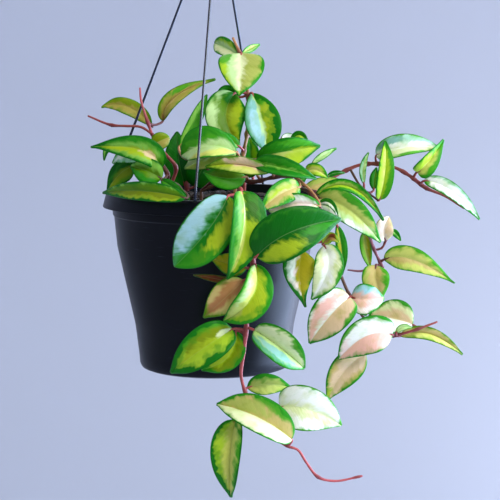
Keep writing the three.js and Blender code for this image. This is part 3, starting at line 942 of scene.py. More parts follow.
@dataclass(frozen=True)
class Leaf:
    """One blade round its curved rib.

    Base, middle and tip are the rib's points in the view. Half is the greatest half width, in millimetres,
    and lift is how far each half is raised, in degrees. Widest is where along the rib that width is, full
    is how blunt the outline is, where less is fuller, and wave is how far its margins ripple, in millimetres.
    """

    base: Point
    middle: Point
    tip: Point
    half: float
    lift: tuple[float, float]
    look: Look
    widest: float = 0.42
    full: float = 0.68
    wave: float = 0.0

    def rib(self) -> tuple[Array, Array, Array]:
        """The rib's points in the plan."""
        return VIEW.seen(*self.base), VIEW.seen(*self.middle), VIEW.seen(*self.tip)

    def facing(self) -> Array:
        """The way the blade's face looks."""
        return -VIEW.forward


@dataclass(frozen=True)
class FreeLeaf(Leaf):
    """A blade whose rib and face are given in the plan itself, for the far side of the pot."""

    way: Point = (0.0, 1.0, 0.2)

    def rib(self) -> tuple[Array, Array, Array]:
        """The rib's points, which the plan already holds."""
        return np.array(self.base), np.array(self.middle), np.array(self.tip)

    def facing(self) -> Array:
        """The way the blade's face looks."""
        return np.array(self.way) / np.linalg.norm(self.way)


@dataclass(frozen=True)
class Stem:
    """One stem or bare tendril: its points in the plan, its tone and radius, and where its joints are."""

    points: tuple[Array, ...]
    tone: Tone
    radius: float = 1.2
    knots: tuple[Array, ...] = ()


@dataclass(frozen=True)
class VinePlan:
    """One vine: its stems, the first from its root, its leaves, and the tone of their stalks."""

    node: str
    stems: tuple[Stem, ...]
    leaves: tuple[Leaf, ...]
    stalk: Tone = Tone.RED


def seen(*points: Point) -> tuple[Array, ...]:
    """Points of the view, in the plan."""
    return tuple(VIEW.seen(*point) for point in points)


CROWN = VinePlan("vine_crown", stems=(
    Stem((root(14, -14), *seen((242, 166, 19), (244, 150, 17), (247, 134, 12), (248, 96, 4), (241, 57, 4),
                               (233, 38, 2))), Tone.SALMON,
         knots=seen((247, 134, 12), (248, 97, 4), (241, 57, 4))),
), leaves=(
    Leaf((241, 53, 5), (241, 74, 20), (239, 96, 28), 15.8, (14, 6),
         Look((Tone.LIME, Tone.PISTACHIO, Tone.CREAM, Tone.KHAKI), (0.12, 0.34, 0.58), (1.1, 1.5),
              spots=(Spot(Tone.FRESH, 0.1, 0.2, 0.16), Spot(Tone.LIME, 0.5, 1.0, 0.5, 0.12))), widest=0.3,
         full=0.4),
    Leaf((240, 57, 3), (227, 48, -6), (214, 43, -18), 7, (40, 20),
         Look((Tone.LIME, Tone.PISTACHIO, Tone.CREAM), (0.25, 0.6), (1.7, 0.9)), widest=0.6),
    Leaf((242, 54, 2), (250, 50, -8), (260, 44, -16), 3.8, (60, 50),
         Look((Tone.PISTACHIO, Tone.KHAKI), (0.5,), (0.6, 0.6), Tone.FRESH)),
    Leaf((235, 93, 9), (226, 118, 18), (240, 147, 20), 14.5, (15, 15),
         Look((Tone.PISTACHIO, Tone.MOSS, Tone.OLIVE, Tone.CITRON), (0.22, 0.5, 0.62), (0.9, 2.2), Tone.DEEP,
              spots=(Spot(Tone.DEEP, 0.52, 0.06, 0.3), Spot(Tone.FRESH, 0.94, 0.6, 0.12, 0.4))), full=0.6),
    # The sea and teal zones and the ice spot on this blade's first half are a painted reflection of the sky
    Leaf((252, 93, 12), (262, 121, 22), (267, 153, 24), 12.8, (32, 12),
         Look((Tone.SEA, Tone.TEAL, Tone.PISTACHIO, Tone.CITRON), (0.07, 0.4, 0.54), (0.8, 4.8), Tone.DEEP,
              spots=(Spot(Tone.FRESH, 0.72, 0.12), Spot(Tone.ICE, 0.26, 0.5, 0.12, 0.3))), widest=0.56,
         full=0.85),
    Leaf((238, 97, 2), (226, 90, 2), (216, 97, 6), 4, (30, 30),
         Look((Tone.GRASS, Tone.DEEP), (0.5,), rim=Tone.DEEP)),
    Leaf((240, 147, 23), (226, 139, 29), (213, 134, 31), 4.5, (10, 10),
         Look((Tone.FRESH, Tone.SPRING), (0.4,), (1.0, 0.6))),
), stalk=Tone.PINK)

CENTRE = VinePlan("vine_centre", stems=(
    Stem((root(-8, -30), *seen((236, 178, 44), (252, 182, 54), (275, 177, 60), (292, 176, 60),
                               (306, 172, 52))), Tone.BROWN, knots=seen((252, 182, 54), (275, 177, 60))),
    Stem(seen((236, 178, 44), (240, 160, 40), (260, 160, 36), (290, 146, 30)), Tone.BROWN, TENDRIL),
    Stem((root(-8, -30), *seen((214, 176, 40), (190, 160, 26))), Tone.WINE, TENDRIL,
         knots=seen((194, 168, 30))),
), leaves=(
    Leaf((237, 153, 46), (208, 146, 50), (181, 156, 40), 13.6, (10, 64),
         Look((Tone.FRESH, Tone.PISTACHIO, Tone.BUTTER), (0.24, 0.7), (1.8, 0.6), slant=0.5,
              spots=(Spot(Tone.GRASS, 0.08, 0.6, 0.2, 0.36),)), widest=0.58, full=0.85),
    Leaf((236, 151, 40), (212, 156, 44), (184, 169, 38), 10, (20, 45),
         Look((Tone.CREAM, Tone.BUTTER), (0.6,), (0.4, 0.5), Tone.SPRING), full=0.6),
    Leaf((179, 147, 10), (195, 121, 8), (207, 94, 2), 4.6, (20, 20),
         Look((Tone.FRESH, Tone.SPRING), (0.6,), (0.7, 0.6)), widest=0.5),
    Leaf((271, 172, 64), (236, 164, 67), (205, 167, 65), 7.2, (55, 40),
         Look((Tone.PEACH, Tone.PEACH, Tone.BUTTER), (0.4, 0.66), (0.7, 0.8), Tone.MOSS,
              spots=(Spot(Tone.CITRON, 0.4, 0.9, 0.5, 0.3),))),
    Leaf((254, 163, 62), (286, 169, 68), (317, 179, 62), 8, (58, 30),
         Look((Tone.DEEP, Tone.SPRING, Tone.GRASS), (0.36, 0.64), (0.9, 1.2), Tone.DEEP), widest=0.36,
         full=0.6),
    Leaf((246, 177, 56), (224, 178, 62), (203, 172, 60), 7.8, (10, 15),
         Look((Tone.MOSS, Tone.FRESH), (0.5,), (1.5, 1.3))),
    Leaf((300, 187, 66), (281, 194, 77), (259, 212, 85), 8.2, (15, 25),
         Look((Tone.KHAKI, Tone.CITRON, Tone.TAN, Tone.KHAKI), (0.25, 0.4, 0.8), (1.8, 1.6)), full=0.6),
    Leaf((320, 206, 74), (295, 204, 74), (268, 211, 68), 7.4, (10, 30),
         Look((Tone.SNOW, Tone.BLUSH, Tone.CREAM), (0.35, 0.7), (1.2, 0.6)), widest=0.6),
    Leaf((291, 187, 60), (299, 182, 60), (307, 177, 58), 3, (10, 10), Look((Tone.FRESH,), rim=Tone.DEEP)),
    Leaf((257, 159, 42), (283, 151, 46), (321, 146, 38), 11.5, (5, 56),
         Look((Tone.CITRON, Tone.LIME, Tone.KHAKI, Tone.GRASS), (0.12, 0.32, 0.5), (1.2, 1.3), Tone.DEEP,
              slant=-0.1,
              spots=(Spot(Tone.CITRON, 0.3, 0.82, 0.34, 0.28), Spot(Tone.FRESH, 0.84, 0.7, 0.16, 0.24))),
         widest=0.52, full=0.9),
    Leaf((291, 142, 27), (300, 135, 29), (309, 146, 30), 3.4, (30, 30),
         Look((Tone.LIME, Tone.GRASS), (0.5,), rim=Tone.DEEP)),
    Leaf((281, 139, 20), (289, 137, 18), (298, 139, 18), 3, (20, 20),
         Look((Tone.SNOW,), (), (0.3, 0.3), Tone.DEEP)),
    Leaf((312, 164, 42), (324, 155, 40), (337, 148, 36), 2.6, (30, 30),
         Look((Tone.PISTACHIO,), (), (0.4, 0.4))),
    Leaf((306, 172, 50), (316, 170, 54), (328, 178, 54), 4.8, (30, 20),
         Look((Tone.LIME, Tone.BUTTER, Tone.LIME), (0.3, 0.7), (0.6, 1.3)), full=0.5),
), stalk=Tone.SALMON)

FRONT = VinePlan("vine_front", stems=(
    Stem((root(16, -50), *seen((241, 189, 76), (243, 197, 84), (248, 225, 88), (253, 262, 87),
                               (250, 296, 84), (246, 330, 82), (244, 352, 80), (241, 374, 78),
                               (246, 394, 76), (258, 416, 74), (274, 438, 74), (290, 447, 74))), Tone.PINK,
         knots=seen((253, 262, 87), (246, 329, 82), (246, 392, 76), (288, 446, 74))),
    Stem(seen((290, 447, 74), (298, 450, 74), (306, 462, 74), (318, 477, 74), (335, 481, 72),
              (362, 476, 70)), Tone.PINK, TENDRIL, knots=seen((318, 477, 74), (357, 477, 70))),
), leaves=(
    # The ice and sea zones on this blade's first half are a painted reflection of the sky
    Leaf((228, 196, 87), (208, 230, 95), (174, 267, 90), 16, (20, 15),
         Look((Tone.ICE, Tone.SEA, Tone.DEEP, Tone.CITRON), (0.34, 0.43, 0.66), (0.6, 2.0),
              spots=(Spot(Tone.GRASS, 0.5, 1.0, 0.7, 0.16), Spot(Tone.GRASS, 0.8, 0.84, 0.3, 0.18))),
         widest=0.54, full=0.5),
    Leaf((241, 191, 90), (243, 230, 96), (227, 280, 92), 14.5, (72, -8),
         Look((Tone.GRASS, Tone.SPRING, Tone.BUTTER, Tone.CITRON), (0.14, 0.34, 0.5), (1.0, 2.8), Tone.DEEP,
              slant=0.15,
              spots=(Spot(Tone.DARK, 0.94, 0.16, 0.46, 0.28), Spot(Tone.CREAM, 0.44, 0.3, 0.06, 0.3))),
         full=0.5),
    Leaf((256, 257, 96), (291, 232, 105), (342, 219, 92), 15.8, (15, 12),
         Look((Tone.DARK, Tone.DARK), (0.5,), (1.9, 1.7), Tone.DARK,
              spots=(Spot(Tone.CITRON, 0.22, 0.3, 0.2, 0.32), Spot(Tone.GRASS, 0.34, 0.76, 0.12))),
         full=0.5),
    Leaf((255, 264, 88), (252, 297, 97), (223, 321, 90), 12.5, (58, 10),
         Look((Tone.FRESH, Tone.PISTACHIO, Tone.BUTTER, Tone.CITRON), (0.1, 0.26, 0.47), (0.8, 2.7),
              spots=(Spot(Tone.KHAKI, 0.3, 0.86, 0.3), Spot(Tone.FRESH, 0.94, 0.3, 0.12, 0.3))),
         widest=0.52),
    Leaf((244, 280, 83), (225, 298, 84), (203, 318, 78), 10.6, (20, 20),
         Look((Tone.TAN, Tone.SALMON, Tone.TAN), (0.2, 0.7), (0.9, 1.1), Tone.MOSS)),
    Leaf((247, 268, 82), (230, 264, 80), (211, 258, 76), 7.5, (10, 10),
         Look((Tone.GOLD,), (), (0.9, 0.9), Tone.DEEP)),
    Leaf((240, 284, 80), (217, 279, 76), (193, 275, 74), 2.6, (10, 10),
         Look((Tone.RUST,), (), (0.2, 0.2), Tone.WINE)),
    Leaf((233, 329, 82), (203, 349, 86), (170, 373, 78), 13.5, (8, 46),
         Look((Tone.FRESH, Tone.OLIVE, Tone.CITRON, Tone.LIME), (0.16, 0.36, 0.5), (2.6, 3.2), Tone.DEEP,
              spots=(Spot(Tone.CREAM, 0.42, 0.14, 0.1, 0.16), Spot(Tone.LIME, 0.24, 0.85, 0.14, 0.16))),
         full=0.5),
    Leaf((236, 331, 78), (228, 357, 80), (201, 370, 74), 8.6, (15, 15),
         Look((Tone.CITRON, Tone.OLIVE), (0.6,), (1.4, 1.9))),
    # The sea zone and the teal spot on this blade's first half are a painted reflection of the sky
    Leaf((254, 330, 84), (278, 346, 88), (305, 369, 82), 14, (60, 44),
         Look((Tone.SEA, Tone.PISTACHIO, Tone.CREAM, Tone.SPRING), (0.16, 0.48, 0.9), (1.2, 1.6),
              spots=(Spot(Tone.FRESH, 0.94, 0.75, 0.14, 0.24), Spot(Tone.TEAL, 0.24, 0.5, 0.1, 0.34))),
         widest=0.5, full=0.62),
    Leaf((247, 388, 72), (268, 384, 70), (292, 388, 64), 7, (10, 10),
         Look((Tone.BUTTER, Tone.KHAKI), (0.4,), (0.8, 2.0))),
    Leaf((279, 407, 72), (308, 409, 76), (342, 426, 66), 14.8, (15, 15),
         Look((Tone.SNOW, Tone.CREAM, Tone.SNOW), (0.3, 0.6), (0.7, 1.1), Tone.FRESH), widest=0.4,
         full=0.46),
    Leaf((292, 440, 78), (256, 417, 88), (216, 404, 82), 14.8, (18, 70),
         Look((Tone.TAN, Tone.CREAM), (0.5,), (2.0, 0.8),
              spots=(Spot(Tone.FRESH, 0.04, 0.36, 0.16, 0.3), Spot(Tone.KHAKI, 0.3, 0.7, 0.2, 0.3))),
         widest=0.45, full=0.62),
    Leaf((236, 419, 76), (231, 456, 84), (231, 498, 76), 13.4, (8, 76),
         Look((Tone.LIME, Tone.BUTTER, Tone.FRESH), (0.3, 0.84), (2.7, 1.0), Tone.DEEP,
              spots=(Spot(Tone.FRESH, 0.9, 0.05, 0.3, 0.12),)), full=0.6),
), stalk=Tone.PINK)

HANGING = VinePlan("vine_hanging_right", stems=(
    Stem((root(44, -32), *seen((300, 188, 54), (312, 195, 66), (322, 212, 70), (326, 240, 66),
                               (338, 268, 60), (350, 296, 58), (366, 320, 56), (382, 332, 56),
                               (394, 336, 56))), Tone.BROWN,
         knots=seen((312, 195, 66), (325, 240, 66), (350, 296, 58), (393, 336, 56))),
    Stem(seen((394, 336, 56), (412, 331, 58), (437, 322, 56)), Tone.RED, TENDRIL),
), leaves=(
    Leaf((303, 250, 74), (299, 276, 76), (306, 308, 66), 11, (20, 5),
         Look((Tone.BLUSH, Tone.GOLD), (0.38,), (2.2, 1.0), Tone.DEEP,
              spots=(Spot(Tone.SNOW, 0.2, 0.3, 0.14, 0.26),)), widest=0.3, full=0.6),
    Leaf((324, 245, 74), (328, 271, 80), (311, 300, 74), 9.6, (15, 15),
         Look((Tone.CREAM, Tone.SNOW, Tone.CREAM), (0.3, 0.75), (0.7, 1.3),
              spots=(Spot(Tone.FRESH, 0.96, 0.55, 0.1), Spot(Tone.MINT, 1.0, 0.15, 0.12))), full=0.5),
    Leaf((337, 225, 72), (342, 250, 64), (342, 276, 56), 4, (20, 20),
         Look((Tone.GOLD, Tone.GRASS), (0.45,), rim=Tone.DEEP)),
    Leaf((323, 244, 80), (331, 237, 84), (339, 243, 86), 4, (20, 35),
         Look((Tone.SALMON, Tone.RUST), (0.5,), (1.1, 1.3), Tone.LIME)),
    Leaf((350, 297, 64), (331, 315, 70), (309, 344, 62), 14.2, (22, 42),
         Look((Tone.SNOW, Tone.ROSE, Tone.SNOW, Tone.PEACH), (0.1, 0.38, 0.5), (1.0, 1.4),
              spots=(Spot(Tone.FRESH, 1.0, 0.3, 0.12, 0.24),)), full=0.55),
    Leaf((351, 297, 60), (366, 299, 62), (385, 298, 54), 10.4, (10, 20),
         Look((Tone.BLUSH, Tone.ROSE, Tone.ICE), (0.25, 0.74), (1.2, 1.0),
              spots=(Spot(Tone.FRESH, 0.9, 0.94, 0.2, 0.12),)), full=0.55),
    Leaf((413, 325, 44), (392, 319, 42), (368, 316, 38), 13.6, (8, 58),
         Look((Tone.CREAM, Tone.PEACH, Tone.SNOW), (0.24, 0.5), (1.7, 0.5),
              spots=(Spot(Tone.SPRING, 0.04, 0.8, 0.12, 0.22),)), full=0.55),
    Leaf((393, 335, 60), (366, 336, 66), (338, 360, 60), 12.8, (24, 22),
         Look((Tone.SNOW, Tone.ROSE), (0.5,), (1.3, 1.3),
              spots=(Spot(Tone.FRESH, 0.04, 0.7, 0.1, 0.3), Spot(Tone.BLUSH, 0.3, 0.9, 0.24))), full=0.5),
    Leaf((366, 353, 52), (344, 372, 54), (327, 401, 48), 10.4, (15, 15),
         Look((Tone.TAN, Tone.PEACH, Tone.TAN), (0.2, 0.8), (1.3, 1.4),
              spots=(Spot(Tone.CITRON, 0.3, 0.96, 0.5, 0.14),)), widest=0.4, full=0.6),
    Leaf((400, 336, 52), (430, 334, 50), (463, 355, 42), 5.4, (45, 40),
         Look((Tone.BUTTER, Tone.TAN), (0.5,), (0.7, 0.8), Tone.MOSS), full=0.6),
    Leaf((352, 303, 52), (359, 309, 50), (367, 316, 46), 3, (10, 10),
         Look((Tone.SNOW, Tone.GRASS), (0.5,), rim=Tone.DEEP)),
    Leaf((396, 333, 60), (403, 327, 61), (412, 328, 60), 2.4, (30, 30),
         Look((Tone.PISTACHIO,), (), (0.4, 0.4), Tone.SPRING)),
), stalk=Tone.RED)

VIOLET = VinePlan("vine_violet_right", stems=(
    Stem((root(46, -12), *seen((303, 189, 30), (316, 193, 42), (334, 208, 46), (352, 222, 38),
                               (368, 234, 32), (374, 249, 30), (380, 262, 30), (383, 268, 30))), Tone.VIOLET,
         knots=seen((316, 193, 42), (374, 250, 30), (382, 266, 30))),
    Stem(seen((380, 265, 30), (362, 271, 28), (348, 270, 26)), Tone.VIOLET, TENDRIL),
    Stem(seen((375, 250, 30), (382, 248, 30), (386, 240, 30)), Tone.WINE, TENDRIL),
), leaves=(
    Leaf((304, 191, 36), (326, 184, 36), (352, 186, 32), 5, (10, 10),
         Look((Tone.TAN, Tone.KHAKI), (0.6,), (0.6, 0.7), Tone.MOSS), full=0.55),
    Leaf((316, 195, 47), (350, 187, 47), (384, 221, 40), 5.6, (60, 50),
         Look((Tone.GRASS, Tone.LIME, Tone.KHAKI, Tone.FRESH), (0.2, 0.5, 0.82), (0.8, 0.8), Tone.DEEP),
         full=0.55),
    Leaf((318, 198, 50), (349, 210, 58), (381, 243, 46), 9.8, (22, 15),
         Look((Tone.SNOW, Tone.PISTACHIO, Tone.KHAKI), (0.16, 0.3), (0.5, 1.6),
              spots=(Spot(Tone.GRASS, 0.88, 0.5, 0.16, 0.22), Spot(Tone.PISTACHIO, 0.4, 0.95, 0.4))),
         full=0.55),
    Leaf((319, 204, 58), (330, 203, 64), (338, 217, 64), 2.8, (25, 25),
         Look((Tone.SNOW, Tone.GRASS), (0.5,), (0.4, 0.8), Tone.DEEP)),
    Leaf((386, 241, 30), (384, 229, 34), (389, 216, 30), 6.6, (15, 15),
         Look((Tone.PEACH, Tone.BLUSH), (0.4,), (0.3, 0.4), Tone.TAN), full=0.45),
    Leaf((391, 230, 28), (396, 234, 27), (401, 241, 26), 2.4, (15, 15),
         Look((Tone.SPRING, Tone.DEEP), (0.5,), rim=Tone.DEEP)),
    Leaf((364, 231, 28), (366, 250, 26), (370, 268, 24), 4.3, (25, 25),
         Look((Tone.SPRING, Tone.KHAKI, Tone.GOLD), (0.35, 0.7), (0.8, 0.7), Tone.FRESH), full=0.6),
    Leaf((385, 259, 32), (415, 260, 36), (455, 284, 28), 8.6, (5, 28),
         Look((Tone.BUTTER, Tone.TAN, Tone.BUTTER), (0.3, 0.5), (0.9, 1.4), Tone.FRESH), widest=0.36,
         full=0.66, wave=0.7),
    Leaf((376, 265, 34), (376, 281, 38), (382, 299, 32), 9.3, (12, 12),
         Look((Tone.KHAKI, Tone.TAN, Tone.FRESH), (0.2, 0.8), (0.9, 1.5), Tone.FRESH), full=0.45),
), stalk=Tone.WINE)

ARCHED = VinePlan("vine_arched_right", stems=(
    Stem((root(50, 10), *seen((318, 184, 6), (345, 171, 4), (360, 165, 4), (380, 164, 6), (396, 168, 6),
                              (410, 176, 6), (426, 188, 6), (445, 196, 6), (464, 208, 6))), Tone.RED,
         knots=seen((346, 171, 4), (367, 164, 5), (404, 172, 6), (426, 188, 6))),
    Stem(seen((350, 169, 4), (362, 188, 10), (378, 200, 16)), Tone.BROWN, TENDRIL),
), leaves=(
    Leaf((376, 156, 8), (405, 147, 14), (441, 148, 6), 9.6, (60, 20),
         Look((Tone.SPRING, Tone.CREAM, Tone.SNOW, Tone.MINT), (0.05, 0.36, 0.74), (0.5, 0.6), Tone.FRESH,
              spots=(Spot(Tone.TEAL, 0.84, 0.3, 0.12), Spot(Tone.FRESH, 0.06, 0.55, 0.08))), widest=0.4,
         full=0.6),
    Leaf((379, 200, 18), (385, 172, 24), (385, 140, 16), 6.6, (20, 50),
         Look((Tone.FRESH, Tone.LIME, Tone.BUTTER, Tone.LIME), (0.28, 0.5, 0.64), (0.9, 0.7),
              spots=(Spot(Tone.FRESH, 0.5, 0.96, 0.6, 0.12),)), full=0.5),
    Leaf((417, 172, 10), (428, 162, 14), (444, 139, 8), 7.8, (15, 60),
         Look((Tone.FRESH, Tone.BUTTER, Tone.LIME), (0.26, 0.6), (1.2, 0.9),
              spots=(Spot(Tone.FRESH, 0.5, 1.0, 0.6, 0.26),)), widest=0.36, full=0.5),
    Leaf((424, 181, 12), (451, 191, 14), (480, 220, 4), 6.0, (40, 15),
         Look((Tone.SNOW, Tone.MINT), (0.84,), (1.0, 0.5), spots=(Spot(Tone.FRESH, 0.3, 0.04, 0.4, 0.1),)),
         full=0.55),
    Leaf((364, 184, 16), (363, 167, 18), (369, 152, 14), 2.5, (20, 20),
         Look((Tone.PISTACHIO, Tone.MINT), (0.5,), (0.3, 0.3))),
    Leaf((374, 190, 10), (374, 178, 8), (377, 167, 6), 3.2, (10, 10),
         Look((Tone.MOSS, Tone.GRASS), (0.5,), rim=Tone.DEEP)),
    Leaf((327, 177, 12), (335, 173, 12), (345, 173, 12), 2, (20, 20),
         Look((Tone.SPRING, Tone.TEAL), (0.5,), rim=Tone.DEEP)),
), stalk=Tone.RED)

TALL_LEFT = VinePlan("vine_left_tall", stems=(
    Stem((root(-30, -8), *seen((176, 168, 12), (168, 157, 14), (158, 146, 16), (152, 134, 18))), Tone.RED,
         knots=seen((176, 167, 12), (152, 134, 18))),
    Stem(seen((152, 134, 18), (146, 117, 18), (141, 100, 18), (140, 88, 18)), Tone.PINK, TENDRIL),
    Stem(seen((152, 134, 18), (141, 127, 18), (126, 126, 18), (111, 125, 16), (88.2, 116, 14)), Tone.RED,
         TENDRIL, knots=seen((112, 125, 16))),
), leaves=(
    Leaf((151, 125, -8), (127, 107, -12), (101, 107, -12), 6.4, (10, 40),
         Look((Tone.OLIVE, Tone.DRAB), (0.3,), (0.6, 0.8), Tone.MOSS), full=0.6, wave=1.4),
    Leaf((163, 121, 10), (175, 97, 14), (216, 79, 8), 6.8, (50, 45),
         Look((Tone.DRAB, Tone.TAN, Tone.DRAB), (0.3, 0.62), (0.5, 1.0), Tone.MOSS,
              spots=(Spot(Tone.FRESH, 0.84, 0.62, 0.16, 0.14), Spot(Tone.SALMON, 0.5, 0.04, 0.5, 0.1))),
         full=0.8),
    Leaf((153, 145, 22), (160, 141, 24), (170, 137, 22), 6, (10, 10),
         Look((Tone.DRAB, Tone.OLIVE), (0.5,), (0.6, 0.6), Tone.MOSS), widest=0.5, full=0.45),
), stalk=Tone.WINE)

LOW_LEFT = VinePlan("vine_left_low", stems=(
    Stem((root(-34, -30), *seen((168, 176, 42), (162, 166, 44), (150, 162, 44), (138, 164, 40))),
         Tone.BROWN),
    Stem((root(-34, -30), *seen((176, 184, 50), (184, 192, 66))), Tone.BROWN, TENDRIL),
), leaves=(
    Leaf((161, 168, 46), (140, 150, 52), (90, 147, 40), 9.4, (14, 40),
         Look((Tone.GRASS, Tone.SPRING, Tone.CITRON, Tone.SPRING), (0.22, 0.42, 0.74), (1.6, 1.3), Tone.DEEP,
              slant=0.1,
              spots=(Spot(Tone.FRESH, 0.5, 0.06, 0.6, 0.16), Spot(Tone.PEACH, 0.56, 0.32, 0.14, 0.16))),
         widest=0.44, full=0.7),
    Leaf((141, 161, 40), (127, 155, 42), (112, 164, 34), 5.6, (10, 20),
         Look((Tone.MINT, Tone.SNOW, Tone.MINT), (0.3, 0.7), (0.6, 0.6), Tone.FRESH)),
    Leaf((121, 147, 34), (109, 146, 32), (104, 161, 28), 3, (20, 20),
         Look((Tone.SPRING, Tone.DEEP), (0.5,), (0.6, 0.6), Tone.DEEP)),
    Leaf((135, 166, 36), (121, 173, 36), (107, 191, 30), 7.6, (15, 15),
         Look((Tone.DARK, Tone.OLIVE, Tone.MOSS), (0.4, 0.75), (2.0, 1.0), Tone.DARK)),
    Leaf((162, 179, 50), (147, 171, 52), (130, 166, 47), 9, (20, 20),
         Look((Tone.SPRING, Tone.MOSS, Tone.GRASS), (0.34, 0.66), (0.9, 1.4), Tone.DEEP), full=0.6),
    Leaf((186, 198, 82), (142, 191, 70), (102, 193, 36), 6.6, (25, 20),
         Look((Tone.SPRING, Tone.MOSS, Tone.OLIVE, Tone.CITRON), (0.1, 0.5, 0.74), (0.8, 1.4), Tone.DEEP,
              spots=(Spot(Tone.MINT, 0.0, 0.55, 0.06, 0.3),)), full=0.55),
    Leaf((161, 180, 52), (174, 188, 62), (189, 199, 76), 3.6, (20, 20),
         Look((Tone.FRESH, Tone.GRASS), (0.5,), rim=Tone.DEEP)),
), stalk=Tone.BROWN)

BACK_LOOKS = (
    Look((Tone.CREAM, Tone.CITRON), (0.5,), (1.6, 2.4), Tone.DEEP),
    Look((Tone.BLUSH, Tone.ROSE), (0.55,), (1.4, 1.4)),
    Look((Tone.CITRON, Tone.MOSS, Tone.GRASS), (0.4, 0.7), (1.8, 1.2), Tone.DARK),
    Look((Tone.SNOW, Tone.CREAM), (0.5,), (1.2, 1.0), Tone.FRESH),
    Look((Tone.PISTACHIO, Tone.OLIVE), (0.45,), (1.3, 2.2), Tone.DEEP),
)


@dataclass(frozen=True)
class BackVine:
    """A vine over the far side of the rim: leaves that stand over the mix, and pairs down a hanging stem.

    Sizes are in millimetres and turns in degrees round the pot. The photograph hides these pairs, so a sway,
    which is a sine of the leaf's own number, makes each a little unlike the others.
    """

    node: str
    azimuth: float
    start: Point
    drift: float
    standing: tuple[Leaf, ...]
    over_mix: tuple[float, float] = (62.0, 7.0)
    over_rim: tuple[float, float] = (76.0, 8.0)
    outside: float = 82.0
    bend: float = -4.0
    flare: float = 1.5
    step: float = 24.0
    pairs: int = 3
    half: float = 11.5
    lift: tuple[float, float] = (15.0, 22.0)
    full: float = 0.55
    length: float = 37.0
    shrink: float = 0.07

    def line(self) -> list[Array]:
        """The stem's points, from the mix over the rim and down the outside.

        Returns:
            The points in the plan.
        """
        points = [np.array(self.start)]
        points += [around(radius, self.azimuth, height) for radius, height in (self.over_mix, self.over_rim)]
        for i in range(self.pairs + 1):
            turn = self.azimuth + self.drift * i
            points.append(around(self.outside + self.flare * i, turn, self.bend - self.step * i))
        return points

    def pair_leaf(self, i: int, hand: int) -> FreeLeaf:
        """One leaf of a pair on the hanging stem.

        Args:
            i: the pair's number, from the top.
            hand: 1 for the leaf on one side, and -1 for the other.

        Returns:
            The leaf.
        """
        sway = math.sin(2.3 * i + 1.7 * hand + self.azimuth)
        size = 1 - self.shrink * i + 0.06 * sway
        turn = self.azimuth + self.drift * (i + 0.3)
        radius = self.outside + self.flare * i
        z = -10 - self.step * i - (4 + sway) * hand
        base = around(radius + 1, turn + 3 * hand, z)
        middle = around(radius + 8 + 2 * sway, turn + hand * 8 * size, z - 15 * size)
        tip = around(radius + 11 - sway, turn + hand * (13 + 2 * sway) * size, z - self.length * size)
        way = around(1, turn + (8 + 10 * sway) * hand, 0.2 + 0.15 * sway)
        look = BACK_LOOKS[(2 * i + (hand > 0) + int(self.azimuth)) % len(BACK_LOOKS)]
        rib = (tuple(base), tuple(middle), tuple(tip))
        return FreeLeaf(*rib, self.half * size, self.lift, look, full=self.full, way=tuple(way))

    def plan(self) -> VinePlan:
        """Works out the whole vine.

        Returns:
            The vine's plan.
        """
        points = self.line()
        hanging = [self.pair_leaf(i, hand) for i in range(self.pairs) for hand in (1, -1)]
        stem = Stem(tuple(points), Tone.RED, knots=tuple(points[3:]))
        return VinePlan(self.node, (stem,), (*self.standing, *hanging))


# The standing leaves wear the darkest greens: partly their own colour, partly painted shade of the deep
# foliage behind the crown
STANDING_LEFT = (
    Leaf((185, 186, -42), (179, 160, -40), (177, 131, -44), 10.5, (20, 15),
         Look((Tone.DARK, Tone.DEEP), (0.5,), (1.4, 1.4), Tone.DARK, spots=(Spot(Tone.GRASS, 0.3, 0.8),)),
         full=0.5),
    Leaf((194, 187, -42), (202, 169, -38), (212, 150, -42), 10.5, (15, 20),
         Look((Tone.DEEP, Tone.DARK), (0.4,), (1.4, 1.4), Tone.DARK), full=0.5),
)
STANDING_RIGHT = (
    Leaf((242, 178, -44), (233, 166, -40), (222, 150, -44), 9.5, (20, 15),
         Look((Tone.DARK, Tone.DEEP), (0.5,), (1.4, 1.4), Tone.DARK), full=0.55),
    Leaf((246, 178, -44), (250, 158, -36), (249, 137, -34), 8, (15, 15),
         Look((Tone.MOSS, Tone.DEEP), (0.4,), (1.4, 1.4), Tone.DARK), full=0.55),
)

PLANS = (
    *(CROWN, CENTRE, FRONT, HANGING, VIOLET, ARCHED, TALL_LEFT, LOW_LEFT),
    BackVine("vine_back_left", 111, (-20, 42, STEM_START), -1.3, STANDING_LEFT).plan(),
    BackVine("vine_back_right", 71, (20, 44, STEM_START), 1.3, STANDING_RIGHT).plan(),
)


# The plant's pieces


